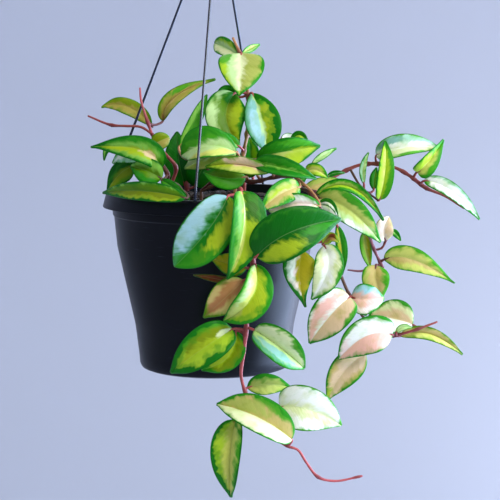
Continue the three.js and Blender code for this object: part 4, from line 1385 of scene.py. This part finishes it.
@dataclass
class Blade:
    """Builds one leaf's blade as a grid that will be a thick shell, with its colours on it.

    Sizes are in millimetres. Places across run from -1 to 1, and places along from 0 to 1.
    """

    leaf: Leaf
    number: int
    # The outline
    least_half: float = 0.45
    tip_pinch: float = 0.85
    tip_share: float = 0.09
    # How each half is lifted, at the rib and less towards its rim, and where on each half its ripples start
    lift_at_rib: float = 1.15
    lift_lost: float = 0.3
    ripples: float = 1.6
    ripple_starts: tuple[float, float] = (0.1, 0.45)
    # The relief: a furrow along the rib, soft swells, and rims that curl down. A smaller blade has less of it
    furrow_depth: float = 0.5
    furrow_width: float = 0.9
    swell: float = 0.35
    curl: float = 0.5
    full_relief: float = 12.0
    # The grid
    columns: int = 12
    narrow: float = 5.0
    narrow_columns: int = 8
    row_length: float = 2.4
    least_rows: int = 8
    # What its material reads: how far apart two blades' noises are, and a place that no point comes near
    apart: float = 13.7
    never: float = 9.0

    def curve(self, along: Array) -> tuple[Array, Array]:
        """The rib's curve.

        Args:
            along: places along it.

        Returns:
            The points there, and the unit tangents.
        """
        base, middle, tip = self.leaf.rib()
        bend = 2 * middle - 0.5 * base - 0.5 * tip
        u = along[:, None]
        points = (1 - u) ** 2 * base + 2 * u * (1 - u) * bend + u**2 * tip
        heading = 2 * (1 - u) * (bend - base) + 2 * u * (tip - bend)
        return points, heading / np.linalg.norm(heading, axis=1, keepdims=True)

    def reach(self, along: Array) -> Array:
        """The blade's half width, drawn in at the tip into a point.

        Args:
            along: places along the rib.

        Returns:
            The half width at each.
        """
        leaf = self.leaf
        rise = (along / leaf.widest) ** leaf.full
        fall = ((1 - along) / (1 - leaf.widest)) ** (leaf.full * (1 - leaf.widest) / leaf.widest)
        point = 1 - self.tip_pinch * np.exp((along - 1) / self.tip_share)
        return self.least_half + (leaf.half - self.least_half) * rise * fall * point

    def surface(self, across: Array, along: Array) -> Array:
        """The blade's middle surface without its relief.

        Args:
            across: places across the blade.
            along: places along it.

        Returns:
            The points in the plan.
        """
        points, heading = self.curve(along)
        facing = self.leaf.facing()
        facing = facing - heading * (heading @ facing)[:, None]
        facing /= np.linalg.norm(facing, axis=1, keepdims=True)
        sideways = np.cross(heading, facing)
        first, second = (math.radians(lift) for lift in self.leaf.lift)
        lift = np.where(across > 0, first, second) * (self.lift_at_rib - self.lift_lost * np.abs(across))
        reach = self.reach(along) * np.abs(across)
        phase = np.where(across > 0, *self.ripple_starts)
        ripple = np.sin(2 * math.pi * (self.ripples * along + phase)) * across**2 * self.leaf.wave
        out = (np.sign(across) * reach * np.cos(lift))[:, None] * sideways
        return points + out + (reach * np.sin(lift) + ripple)[:, None] * facing

    def form(self, across: Array, along: Array, step: float = 0.01) -> Array:
        """The blade's middle surface with its relief.

        Args:
            across: places across the blade.
            along: places along it.
            step: how far from each place the surface is felt for its slope.

        Returns:
            The points in the row's frame.
        """
        wide = self.surface(across + step, along) - self.surface(across - step, along)
        low, high = np.clip(along - step, 0, 1), np.clip(along + step, 0, 1)
        normal = np.cross(wide, self.surface(across, high) - self.surface(across, low))
        normal /= np.linalg.norm(normal, axis=1, keepdims=True)
        distance = np.abs(across) * self.reach(along)
        furrow = -self.furrow_depth * np.exp(-((distance / self.furrow_width) ** 2))
        size = min(self.leaf.half / self.full_relief, 1.0)
        waves = np.sin(9.0 * along + 2.1 * self.number + 2.4 * across)
        swell = self.swell * size * waves * np.abs(across) ** 1.5
        curl = -self.curl * size * np.abs(across) ** 5
        return placed(self.surface(across, along) + (furrow + swell + curl)[:, None] * normal)

    def length(self, samples: int = 24) -> float:
        """The rib's length, measured over that many points."""
        points = self.curve(np.linspace(0, 1, samples))[0]
        return float(np.linalg.norm(np.diff(points, axis=0), axis=1).sum())

    def color(self, blade: Piece, across: Array, along: Array) -> None:
        """Stores the blade's zones, rims and spots on it, for its material to read.

        Args:
            blade: the blade's grid.
            across: the place across of each of its vertices.
            along: the place along of each.
        """
        look = self.leaf.look
        tones = (*look.tones, *[look.tones[-1]] * ZONES)[:ZONES]
        borders = ZONES - 1
        cuts = (*look.cuts, *[self.never] * borders)[:borders]
        each = (len(across), 1)
        attribute(blade, "leaf_cuts", np.tile(cuts, each))
        attribute(blade, "leaf_rims", np.tile((*look.rims, look.slant), each))
        for i, tone in enumerate(tones):
            attribute(blade, f"leaf_tone_{i}", np.tile(linear(tone.value), each))
        attribute(blade, "leaf_rim", np.tile(linear(look.rim.value), each))
        for i in range(SPOTS):
            spot = look.spots[i] if i < len(look.spots) else Spot(tones[0], self.never, self.never)
            apart = np.hypot(((1 - across) / 2 - spot.across) / spot.wide, (along - spot.along) / spot.long)
            attribute(blade, f"leaf_spot_{i}", 1 - np.minimum(apart, self.never))
            attribute(blade, f"leaf_spot_tone_{i}", np.tile(linear(spot.tone.value), each))

    def build(self) -> Piece:
        """Lays a grid over the blade, and gives it its colours and how fleshy it is from rib to rim.

        Returns:
            The blade, still without thickness.
        """
        length = self.length()
        columns = self.columns if self.leaf.half > self.narrow else self.narrow_columns
        rows = max(self.least_rows, round(length / self.row_length))
        blade, across, along = new_grid(columns, rows)
        lay(blade, self.form(across, along))
        reach = self.reach(along)
        number = np.full(len(across), self.number * self.apart)
        attribute(blade, "leaf_place", np.stack([along * length, across * reach, number], axis=1))
        attribute(blade, "leaf_reach", reach)
        self.color(blade, across, along)
        flesh = blade.vertex_groups.new(name="flesh")
        for i, share in enumerate(1 - np.abs(across) ** 1.6):
            flesh.add([i], float(share), "REPLACE")
        return blade


@dataclass
class Vine:
    """One vine of the plant: its leaves in one piece, and its stems, stalks and bare tendrils in another.

    Sizes are in millimetres.
    """

    plan: VinePlan
    first_number: int
    # How thick the blades are at the rib, and what share of that their rims keep
    flesh: float = 1.5
    rim_share: float = 0.5
    sides: int = 12
    stem_step: float = 2.2
    root_depth: float = 13.0
    taper: float = 0.3
    # The joints, and how uneven a stem is between them
    knot_reach: float = 2.3
    knot_swell: float = 0.6
    stain_reach: float = 3.3
    wobble: float = 0.12
    wobble_scale: float = 0.35
    # The stalks, which are thicker at the stem and a little at the blade, and end inside it
    stalk_sides: int = 10
    stalk_radius: float = 1.0
    stalk_step: float = 1.2
    stalk_sunk: float = 3.5
    stalk_bow: float = 0.12
    long_stalk: float = 4.0
    no_stalk: float = 0.5

    def leaves(self) -> Piece:
        """Builds all blades, and thickens and rounds them together.

        Returns:
            The leaves, with an empty slot for the finish of either side.
        """
        blades = [Blade(leaf, self.first_number + i).build() for i, leaf in enumerate(self.plan.leaves)]
        piece = joined(self.plan.node.replace("vine", "leaves"), blades)
        for _ in range(2):
            piece.data.materials.append(None)
        apply(
            piece,
            "SOLIDIFY",
            thickness=self.flesh * MILLIMETRE,
            offset=0.0,
            vertex_group="flesh",
            thickness_vertex_group=self.rim_share,
            material_offset=1,
        )
        apply(piece, "SUBSURF", levels=1, render_levels=1)
        shade(piece, 60)
        return piece

    def lines(self) -> list[Array]:
        """The stems' centre lines, at even steps, the first of them from down in the mix.

        Returns:
            One line of points for each stem.
        """
        lines = [spaced(stem.points, self.stem_step) for stem in self.plan.stems]
        depths = np.arange(self.root_depth, 0, -self.stem_step)
        lines[0] = np.vstack([lines[0][0] - np.outer(depths, (0.0, 0.0, 1.0)), lines[0]])
        return lines

    def stalk(self, leaf: Leaf, lines: Sequence[Array]) -> tuple[Array, Array]:
        """One leaf's stalk, from the nearest point of a stem to just inside the blade.

        Args:
            leaf: the leaf that the stalk carries.
            lines: the stems' centre lines.

        Returns:
            The stalk's centre line, and the point where it leaves the stem.
        """
        base = leaf.rib()[0]
        bed = np.vstack(lines)
        joint = bed[np.argmin(np.linalg.norm(bed - base, axis=1))]
        gap = float(np.linalg.norm(base - joint))
        heading = Blade(leaf, 0).curve(np.array([0.0]))[1][0]
        points = [joint, base, base + heading * min(self.stalk_sunk, leaf.half * 0.6)]
        if gap > self.long_stalk:
            points.insert(1, (joint + base) / 2 - heading * self.stalk_bow * gap)
        if gap < self.no_stalk:
            points = [base - heading, base, points[-1]]
        return spaced(points, self.stalk_step), joint

    def stem_radii(self, stem: Stem, line: Array, knots: Array) -> Array:
        """A stem's radii: thinner towards its end, swollen at its joints, and uneven between them.

        Args:
            stem: the stem.
            line: its centre line.
            knots: the joints.

        Returns:
            The radius at each point of the line.
        """
        near = np.linalg.norm(line[:, None] - knots[None], axis=2).min(axis=1)
        swell = np.exp(-((near / self.knot_reach) ** 2))
        share = np.linspace(0, 1, len(line))
        radii = stem.radius * (1 - self.taper * share**3) * (1 + self.knot_swell * swell)
        wobble = np.array([noise.noise(Vector(point) * self.wobble_scale) for point in line])
        return radii * (1 + self.wobble * wobble)

    def stalk_radii(self, count: int) -> Array:
        """A stalk's radii, thicker at both its ends, where it meets the stem and the blade.

        Args:
            count: how many points its centre line has.

        Returns:
            The radius at each.
        """
        share = np.linspace(0, 1, count)
        ends = np.exp(-((share / 0.22) ** 2)) + 0.35 * np.exp(-(((1 - share) / 0.3) ** 2))
        return self.stalk_radius * (0.82 + 0.35 * ends) * (1 - 0.5 * share**6)

    def stems(self) -> Piece:
        """Builds the stems and stalks, swollen and darker at their joints.

        Returns:
            All of them in one piece.
        """
        lines = self.lines()
        stalks = [self.stalk(leaf, lines) for leaf in self.plan.leaves]
        joints = np.array([joint for _, joint in stalks])
        pieces = []
        for stem, line in zip(self.plan.stems, lines, strict=True):
            knots = np.array([*stem.knots, *joints])
            piece = tube(line, self.stem_radii(stem, line, knots), self.sides)
            pieces.append(self.toned(piece, stem.tone, knots))
        for line, joint in stalks:
            piece = tube(line, self.stalk_radii(len(line)), self.stalk_sides)
            pieces.append(self.toned(piece, self.plan.stalk, joint[None]))
        piece = joined(self.plan.node.replace("vine", "stems"), pieces)
        shade(piece, 60)
        return piece

    def toned(self, piece: Piece, tone: Tone, knots: Array) -> Piece:
        """Gives a stem its tone, and says how near each of its points is to a joint.

        Args:
            piece: the stem.
            tone: its tone.
            knots: the joints, in the plan.

        Returns:
            The same piece.
        """
        places = corners_of(piece) / MILLIMETRE + HOOK_FROM_RIM
        near = np.linalg.norm(places[:, None] - knots[None], axis=2).min(axis=1)
        attribute(piece, "stem_tone", np.tile(linear(tone.value), (len(places), 1)))
        attribute(piece, "stem_knot", np.exp(-((near / self.stain_reach) ** 2)))
        return piece

    def build(self, blade: Material, under: Material, bark: Material) -> None:
        """Builds and dresses the whole vine, and puts it in the place of its solid.

        Args:
            blade: the leaves' upper finish.
            under: the finish of their undersides.
            bark: the stems' finish.
        """
        leaves, stems = self.leaves(), self.stems()
        leaves.data.materials[0] = blade
        leaves.data.materials[1] = under
        dress(stems, bark)
        hand_in(leaves, "plant", self.plan.node)
        hand_in(stems, "plant")


def dress(piece: Piece, finish: Material) -> None:
    """Gives the whole of a piece one finish."""
    piece.data.materials.clear()
    piece.data.materials.append(finish)


def hand_in(piece: Piece, slot: str, *nodes: str) -> None:
    """Fixes a finished piece to the body, and reports it.

    Args:
        piece: the piece.
        slot: the name of its material slot, which is only reported.
        *nodes: the solids that it stands for.
    """
    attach(piece, BODY)
    if nodes:
        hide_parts(*nodes)
    faces = sum(len(face.vertices) - 2 for face in piece.data.polygons)
    solids = ", ".join(nodes) or "nothing"
    log.info("%s: %d triangles, slot %s, stands for %s", piece.name, faces, slot, solids)


# The pot and what it holds


@dataclass
class Pot:
    """The hanging pot: a thin tapered wall, a turned-down rim, drain holes, and a hole for each strand.

    Sizes are in millimetres, and strands holds the azimuth of each in degrees.
    """

    strands: tuple[float, ...]
    # The rim: its lower edge, its top, the skirt that turns down from it, and how wide its flat top is
    rim_radius: float = 75.0
    rim_top: float = 72.7
    rim_round: float = 0.8
    rim_flat: float = 5.6
    skirt: float = 9.5
    skirt_wall: float = 1.4
    wall: float = 1.8
    height: float = 118.6
    corner: float = 3.5
    # The body's outside: radius and depth below the rim's top, with a fine step under the skirt
    outline: tuple[tuple[float, float], ...] = (
        (68.6, 10), (68.3, 15), (67.5, 15.6), (65.5, 36), (53.8, 89), (51.2, 110)
    )
    steps: int = 96
    bevel: float = 0.35
    drain_holes: int = 5
    drain_radius: float = 4.0
    drain_circle: float = 33.0
    drain_turn: float = 18.0
    strand_circle: float = 70.6
    strand_hole: float = 1.3
    drill_sides: int = 32

    def section(self) -> list[tuple[float, float]]:
        """The wall's closed section, from the rim down the outside and back up the inside.

        Returns:
            The radius and height of each corner.
        """
        foot = self.outline[-1][0] - 0.4
        outside = [
            (self.rim_top - self.rim_round, 0.0),
            (self.rim_top, -self.rim_round),
            (self.rim_radius, -self.skirt),
            (self.rim_radius - self.skirt_wall, -self.skirt),
            (self.rim_top - self.skirt_wall + 0.3, -self.wall),
            (self.outline[0][0] + 0.6, -self.wall),
            *[(radius, -depth) for radius, depth in self.outline],
            (foot, -self.height + self.corner),
            (foot - 1, -self.height + 1),
            (foot - self.corner, -self.height),
        ]
        floor = -self.height + self.wall
        base = [(0.0, -self.height), (0.0, floor), (foot - self.corner, floor)]
        inside = [(radius - self.wall, -depth) for radius, depth in reversed(self.outline)]
        return [*outside, *base, *inside, (self.rim_top - self.rim_flat, 0.0)]

    def drill(self, pot: Piece, centre: Array, radius: float, depth: float) -> None:
        """Cuts a round upright hole through the pot.

        Args:
            pot: the pot.
            centre: the hole's middle, in the plan.
            radius: the hole's radius.
            depth: the drill's length.
        """
        deselect()
        size = {"radius": radius * MILLIMETRE, "depth": depth * MILLIMETRE}
        place = tuple(placed(centre))
        bpy.ops.mesh.primitive_cylinder_add(vertices=self.drill_sides, location=place, **size)
        drill = bpy.context.object
        apply(pot, "BOOLEAN", object=drill, operation="DIFFERENCE", solver="EXACT")
        bpy.data.objects.remove(drill)

    def build(self, plastic: Material) -> None:
        """Spins the wall, drills it and dresses it.

        Args:
            plastic: the pot's finish.
        """
        pot = spun(self.section(), 0.0, self.steps, self.bevel)
        pot.name = "pot_shell"
        for i in range(self.drain_holes):
            azimuth = 360 * i / self.drain_holes + self.drain_turn
            self.drill(pot, around(self.drain_circle, azimuth, -self.height), self.drain_radius, 8)
        for azimuth in self.strands:
            self.drill(pot, around(self.strand_circle, azimuth, -self.wall / 2), self.strand_hole, 4)
        dress(pot, plastic)
        shade(pot, 30)
        hand_in(pot, "pot_plastic", "pot")


@dataclass
class PottingMix:
    """The damp mix in the pot: a crumbly mound of peat with pieces of pine bark pressed into it.

    Sizes are in millimetres.
    """

    pot: Pot
    gap: float = 0.3
    floor_gap: float = 0.3
    # The mound's height at shares of its radius
    shares: tuple[float, ...] = (0.0, 0.55, 0.86, 1.0)
    heights: tuple[float, ...] = (-1.5, -4.5, -7.8, -10.0)
    columns: int = 160
    mound_rows: int = 46
    row_crowding: float = 0.85
    # Lumps and crumbs: the scale of each, in marks per millimetre, and its height. They fade at the wall
    lumps: tuple[tuple[float, float], ...] = ((0.16, 1.3), (0.6, 0.8))
    fade: float = 3.0
    # The flakes of bark: a cube of 1 with bevelled corners that are moved about, then sized
    kinds: int = 5
    chips: int = 260
    seed: int = 7
    chip_bevel: float = 0.16
    chip_break: float = 0.13
    chip_margin: float = 5.0
    chip_rise: tuple[float, float] = (-0.4, 1.0)
    chip_length: tuple[float, float] = (3.0, 9.5)
    chip_width: tuple[float, float] = (0.35, 0.8)
    chip_height: tuple[float, float] = (1.0, 2.4)
    chip_tilt: float = 0.22

    @property
    def edge(self) -> float:
        """The mound's radius at the pot's wall."""
        return self.pot.outline[0][0] - self.pot.wall - self.gap

    def top(self, radius: Array) -> Array:
        """The mound's plain height at a radius."""
        return np.interp(radius, [share * self.edge for share in self.shares], self.heights)

    def profile(self) -> Array:
        """The mix's outside, from the middle of its top to the middle of its floor.

        Returns:
            One row of radius and height for each ring.
        """
        inset = self.pot.wall + self.gap
        radii = self.edge * np.linspace(0, 1, self.mound_rows) ** self.row_crowding
        wall = [(radius - inset, -depth) for radius, depth in self.pot.outline[1:]]
        floor = -self.pot.height + self.pot.wall + self.floor_gap
        below = [(self.pot.outline[-1][0] - self.pot.corner - inset, floor), (0.0, floor)]
        return np.array([*zip(radii, self.top(radii), strict=True), *wall, *below])

    def mound(self) -> Piece:
        """Wraps a grid round the mix's outside, and roughens its top into crumbs.

        Returns:
            The mound.
        """
        profile = self.profile()
        piece, places, ring = turned_grid(profile, self.columns)
        for i in np.flatnonzero(ring < self.mound_rows):
            fade = min(1.0, (self.edge - profile[ring[i], 0]) / self.fade)
            here = Vector(places[i])
            places[i, 2] += fade * sum(noise.noise(here * scale) * height for scale, height in self.lumps)
        lay(piece, placed(places))
        close_seams(piece)
        piece.name = "mix_mound"
        shade(piece, 50)
        return piece

    def chip(self, draw: random.Random) -> Piece:
        """One flake of bark: a block with broken corners.

        Args:
            draw: the source of random numbers.

        Returns:
            The flake, in a cube of 1.
        """
        deselect()
        bpy.ops.mesh.primitive_cube_add(size=1)
        chip = bpy.context.object
        apply(chip, "BEVEL", width=self.chip_bevel, segments=1)
        places = corners_of(chip)
        reach = (-self.chip_break, self.chip_break)
        return lay(chip, places + np.array([[draw.uniform(*reach) for _ in range(3)] for _ in places]))

    def bark(self) -> Piece:
        """Strews copies of a few flakes over the mound, each turned and sized its own way.

        Returns:
            All the flakes in one piece.
        """
        draw = random.Random(self.seed)
        kinds = [self.chip(draw) for _ in range(self.kinds)]
        strewn = []
        for _ in range(self.chips):
            radius = (self.edge - self.chip_margin) * math.sqrt(draw.random())
            azimuth = draw.uniform(0, 360)
            spot = around(radius, azimuth, float(self.top(radius)) + draw.uniform(*self.chip_rise))
            long = draw.uniform(*self.chip_length)
            size = (long, long * draw.uniform(*self.chip_width), draw.uniform(*self.chip_height))
            tilt = (draw.gauss(0, self.chip_tilt), draw.gauss(0, self.chip_tilt))
            turn = (*tilt, draw.uniform(0, 2 * math.pi))
            strewn.append(self.set_down(copy_of(draw.choice(kinds)), spot, size, turn))
        for kind in kinds:
            bpy.data.objects.remove(kind)
        piece = joined("bark_chips", strewn)
        shade(piece, 35)
        return piece

    def set_down(self, chip: Piece, spot: Array, size: Point, turn: Point) -> Piece:
        """Sizes a flake, turns it about its three axes in turn, and lays it down.

        Args:
            chip: the flake.
            spot: where its middle comes to be.
            size: its length, width and height.
            turn: how far it turns about each axis, in radians.

        Returns:
            The same flake.
        """
        places = corners_of(chip) * np.array(size)
        for axis, angle in enumerate(turn):
            first, second = (axis + 1) % 3, (axis + 2) % 3
            turned = places.copy()
            turned[:, first] = places[:, first] * math.cos(angle) - places[:, second] * math.sin(angle)
            turned[:, second] = places[:, first] * math.sin(angle) + places[:, second] * math.cos(angle)
            places = turned
        return lay(chip, placed(places + spot))

    def build(self, peat: Material, bark: Material) -> None:
        """Builds and dresses the mound and its bark.

        Args:
            peat: the mound's finish.
            bark: the flakes' finish.
        """
        mound, chips = self.mound(), self.bark()
        dress(mound, peat)
        dress(chips, bark)
        hand_in(mound, "potting_mix", "potting_mix")
        hand_in(chips, "potting_mix")


@dataclass
class Hanger:
    """Three moulded strands, each with a button under the rim, the hub that they meet in, and its open hook.

    Sizes are in millimetres, and azimuths holds each strand's own in degrees.
    """

    azimuths: dict[str, float]
    circle: float = 70.6
    strand: float = 0.85
    sides: int = 16
    # The strand's foot: a button, the neck over it, and the rod that goes up through the rim
    button: float = 1.25
    button_foot: float = -3.7
    button_top: float = -2.1
    neck: float = 0.1
    in_rim: float = -0.4
    over_rim: float = 1.5
    strand_rows: int = 24
    # The hub, and the circle on it where the strands come in
    hub: Point = (2.4, 0.0, 180.0)
    hub_circle: float = 3.4
    hub_radius: float = 7.0
    hub_body: float = 13.0
    hub_steps: int = 48
    hub_bevel: float = 0.25
    # The hook's wire, its bend, and the turn of the bend, in degrees, from its start to where it's open
    hook_radius: float = 11.76
    hook_wire: float = 1.86
    hook_rise: float = 19.0
    hook_sunk: float = 3.0
    hook_turn: tuple[float, float, float] = (180.0, -36.0, -21.5)
    hook_step: float = 1.6

    def strand_piece(self, node: str, azimuth: float, plastic: Material) -> None:
        """Builds and dresses one strand, from its button up to the hub.

        Args:
            node: the solid that it stands for.
            azimuth: where it is round the rim, in degrees.
            plastic: its finish.
        """
        flange = around(self.circle, azimuth, self.over_rim)
        socket = around(self.hub_circle, azimuth, 0) + np.array(self.hub)
        run = [flange + (socket - flange) * share for share in np.linspace(0, 1, self.strand_rows)]
        heights = (self.button_foot, self.button_top, self.button_top + self.neck, self.in_rim)
        foot = [around(self.circle, azimuth, height) for height in heights]
        radii = np.full(len(foot) + len(run), self.strand)
        radii[:2] = self.button
        piece = tube(np.array([*foot, *run]), radii, self.sides)
        piece.name = f"{node}_rod"
        dress(piece, plastic)
        shade(piece, 40)
        hand_in(piece, "hanger_plastic", node)

    def hub_section(self) -> list[tuple[float, float]]:
        """The hub's closed section, with a fine groove round its waist.

        Returns:
            The radius and height of each corner.
        """
        z, radius = self.hub[2], self.hub_radius
        return [
            (0.0, z - 4),
            (radius * 0.8, z - 4),
            (radius, z - 2),
            (radius, z - 0.4),
            (radius - 0.4, z),
            (radius, z + 0.4),
            (radius, z + 2.2),
            (radius - 0.3, z + 3),
            (radius * 0.5, z + self.hub_body - 4),
            (self.hook_wire, z + self.hub_body),
            (0.0, z + self.hub_body),
        ]

    def hook_line(self) -> Array:
        """The hook's centre line: up out of the hub and over, open on one side.

        Returns:
            Points at even steps along it.
        """
        x, _, z = self.hub
        top = z + self.hub_body
        centre = np.array([x, 0.0, top + self.hook_rise])
        points = [
            np.array([x, 0.0, top - self.hook_sunk]),
            np.array([x, 0.0, top + self.hook_sunk]),
            np.array([x - self.hook_radius * 0.7, 0.0, centre[2] - self.hook_radius * 0.85]),
        ]
        for degrees in np.arange(*self.hook_turn):
            angle = math.radians(degrees)
            points.append(centre + self.hook_radius * np.array([math.cos(angle), 0.0, math.sin(angle)]))
        return spaced(points, self.hook_step)

    def build(self, plastic: Material) -> None:
        """Builds and dresses the strands, and the hub with its hook.

        Args:
            plastic: the finish of all of them.
        """
        for node, azimuth in self.azimuths.items():
            self.strand_piece(node, azimuth, plastic)
        body = spun(self.hub_section(), self.hub[0], self.hub_steps, self.hub_bevel)
        line = self.hook_line()
        hook = tube(line, np.full(len(line), self.hook_wire), self.sides)
        piece = joined("hub_and_hook", [body, hook])
        dress(piece, plastic)
        shade(piece, 40)
        hand_in(piece, "hanger_plastic", "hanger_hook")


# The studio


@dataclass(frozen=True)
class Panel:
    """One soft light: where it hangs, what it aims at, its width and height, its power and its colour."""

    name: str
    place: Point
    aim: Point
    size: tuple[float, float]
    power: float
    color: str

    def build(self) -> None:
        """Hangs the light."""
        data = bpy.data.lights.new(self.name, "AREA")
        data.shape = "RECTANGLE"
        data.size, data.size_y = self.size
        data.energy = self.power
        data.color = linear(self.color)[:3]
        light = bpy.data.objects.new(self.name, data)
        bpy.context.scene.collection.objects.link(light)
        light.location = self.place
        light.rotation_euler = (Vector(self.aim) - Vector(self.place)).to_track_quat("-Z", "Y").to_euler()


@dataclass(frozen=True)
class MattPaper:
    """Backdrop paper, matt and lightly grained, which gives the eye a plain ground without a gloss."""

    name: str = "matt_paper"
    color: str = "#c3c6d1"
    roughness: float = 0.95
    relief: float = 0.1
    # A grain of about 1 mm
    grain: float = 9 / 10

    def build(self) -> Material:
        """Wires the material.

        Returns:
            The finished material.
        """
        sheet = Finish(self.name)
        place = sheet.add("TexCoord", output="Object")
        grain = sheet.add("TexNoise", {"Vector": place, "Scale": self.grain / MILLIMETRE, "Detail": 2.0})
        return sheet.close(linear(self.color), self.roughness, grain, self.relief)


@dataclass
class Studio:
    """A pale bowl that is floor and backdrop in one, soft lights, and the camera at the photograph's angle.

    Sizes are in metres, but for the camera's sensor, which is in millimetres.
    """

    floor: float = -0.95
    flat: float = 1.6
    wall: float = 3.4
    wall_top: float = 3.0
    columns: int = 96
    seam_gap: float = 1e-5
    sky: str = "#efeff2"
    sky_power: float = 0.3
    sensor: float = 36.0
    clip: tuple[float, float] = (0.05, 50.0)
    panels: tuple[Panel, ...] = (
        Panel("key_right", (1.1, -1.5, 1.2), (0.0, 0.0, -0.3), (1.1, 1.1), 40.0, "#fffdf4"),
        Panel("side_right", (1.05, 0.13, -0.2), (0.0, 0.0, -0.3), (1.15, 1.1), 56.0, "#bfd7ff"),
        Panel("top_left", (-1.0, -0.9, 1.4), (0.0, 0.0, -0.2), (1.0, 1.0), 5.0, "#f2f6ff"),
        Panel("back_top", (0.2, 1.6, 1.2), (0.0, 0.0, -0.2), (1.4, 0.9), 10.0, "#f8faff"),
        Panel("wall_wash", (1.5, 1.2, -0.6), (1.6, 3.4, -0.6), (0.8, 0.8), 60.0, "#dde8ff"),
    )

    def bowl(self) -> Piece:
        """Builds the floor, which curves up all round into a wall.

        Returns:
            The bowl, with its faces inwards.
        """
        reach = self.wall - self.flat
        profile = [(0.0, self.floor), (self.flat * 0.5, self.floor), (self.flat, self.floor)]
        for degrees in range(10, 91, 10):
            angle = math.radians(degrees)
            profile.append((self.flat + reach * math.sin(angle), self.floor + reach * (1 - math.cos(angle))))
        profile.append((self.wall, self.wall_top))
        piece, places, _ = turned_grid(np.array(profile), self.columns)
        lay(piece, places)
        close_seams(piece, inside=True, gap=self.seam_gap)
        piece.name = "studio_bowl"
        shade(piece, 60)
        return piece

    def camera(self) -> None:
        """Sets up the camera where the photograph was taken from."""
        data = bpy.data.cameras.new("photo_view")
        data.sensor_width = self.sensor
        data.lens = self.sensor * VIEW.distance / (VIEW.frame * VIEW.pixel)
        data.clip_start, data.clip_end = self.clip
        camera = bpy.data.objects.new("photo_view", data)
        bpy.context.scene.collection.objects.link(camera)
        camera.location = placed(VIEW.eye)
        camera.rotation_euler = (math.pi / 2 - VIEW.down, 0.0, 0.0)
        bpy.context.scene.camera = camera

    def build(self) -> None:
        """Builds the bowl, the sky above it, the lights and the camera."""
        bowl = self.bowl()
        dress(bowl, MattPaper().build())
        world = bpy.data.worlds.new("studio_sky")
        world.use_nodes = True
        sky = Wiring(world.node_tree)
        light = sky.add("Background", {"Color": linear(self.sky), "Strength": self.sky_power})
        sky.add("OutputWorld", {"Surface": light})
        bpy.context.scene.world = world
        for panel in self.panels:
            panel.build()
        self.camera()
        bpy.context.scene.view_settings.view_transform = "Standard"
        log.info("studio: bowl, sky, %d soft lights and the camera", len(self.panels))


def main() -> None:
    """Loads the frame and builds every sub-assembly over it."""
    logging.basicConfig(level=logging.INFO, format="%(name)s: %(message)s")
    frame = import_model()
    log.info("frame: %d solids", len(frame["nodes"]))

    azimuths = {"strand_left": 189.0, "strand_front": 261.2, "strand_back": 62.0}
    satin = MouldedPlastic(
        "satin_black_polypropylene", "#05070f", roughness=0.34, scuffing=0.25, specular=0.16
    )
    gloss = MouldedPlastic(
        "gloss_black_polypropylene", "#040a26", roughness=0.24, scuffing=0.1, specular=0.6
    )
    peat = DampMix("damp_peat", "#070604", "#1d150e", grain=2.2)
    bark = DampMix("pine_bark", "#120c08", "#3a2415", grain=3.0)
    pot = Pot(tuple(azimuths.values()))
    pot.build(satin.build())
    PottingMix(pot).build(peat.build(), bark.build())
    Hanger(azimuths).build(gloss.build())

    blade = WaxyBlade("wax_leaf_upper").build()
    under = WaxyBlade("wax_leaf_underside", faded=0.4, roughness=0.45, coat=0.1).build()
    stem_bark = StemBark().build()
    number = 1
    for plan in PLANS:
        Vine(plan, number).build(blade, under, stem_bark)
        number += len(plan.leaves)

    Studio().build()


if __name__ == "__main__":
    main()
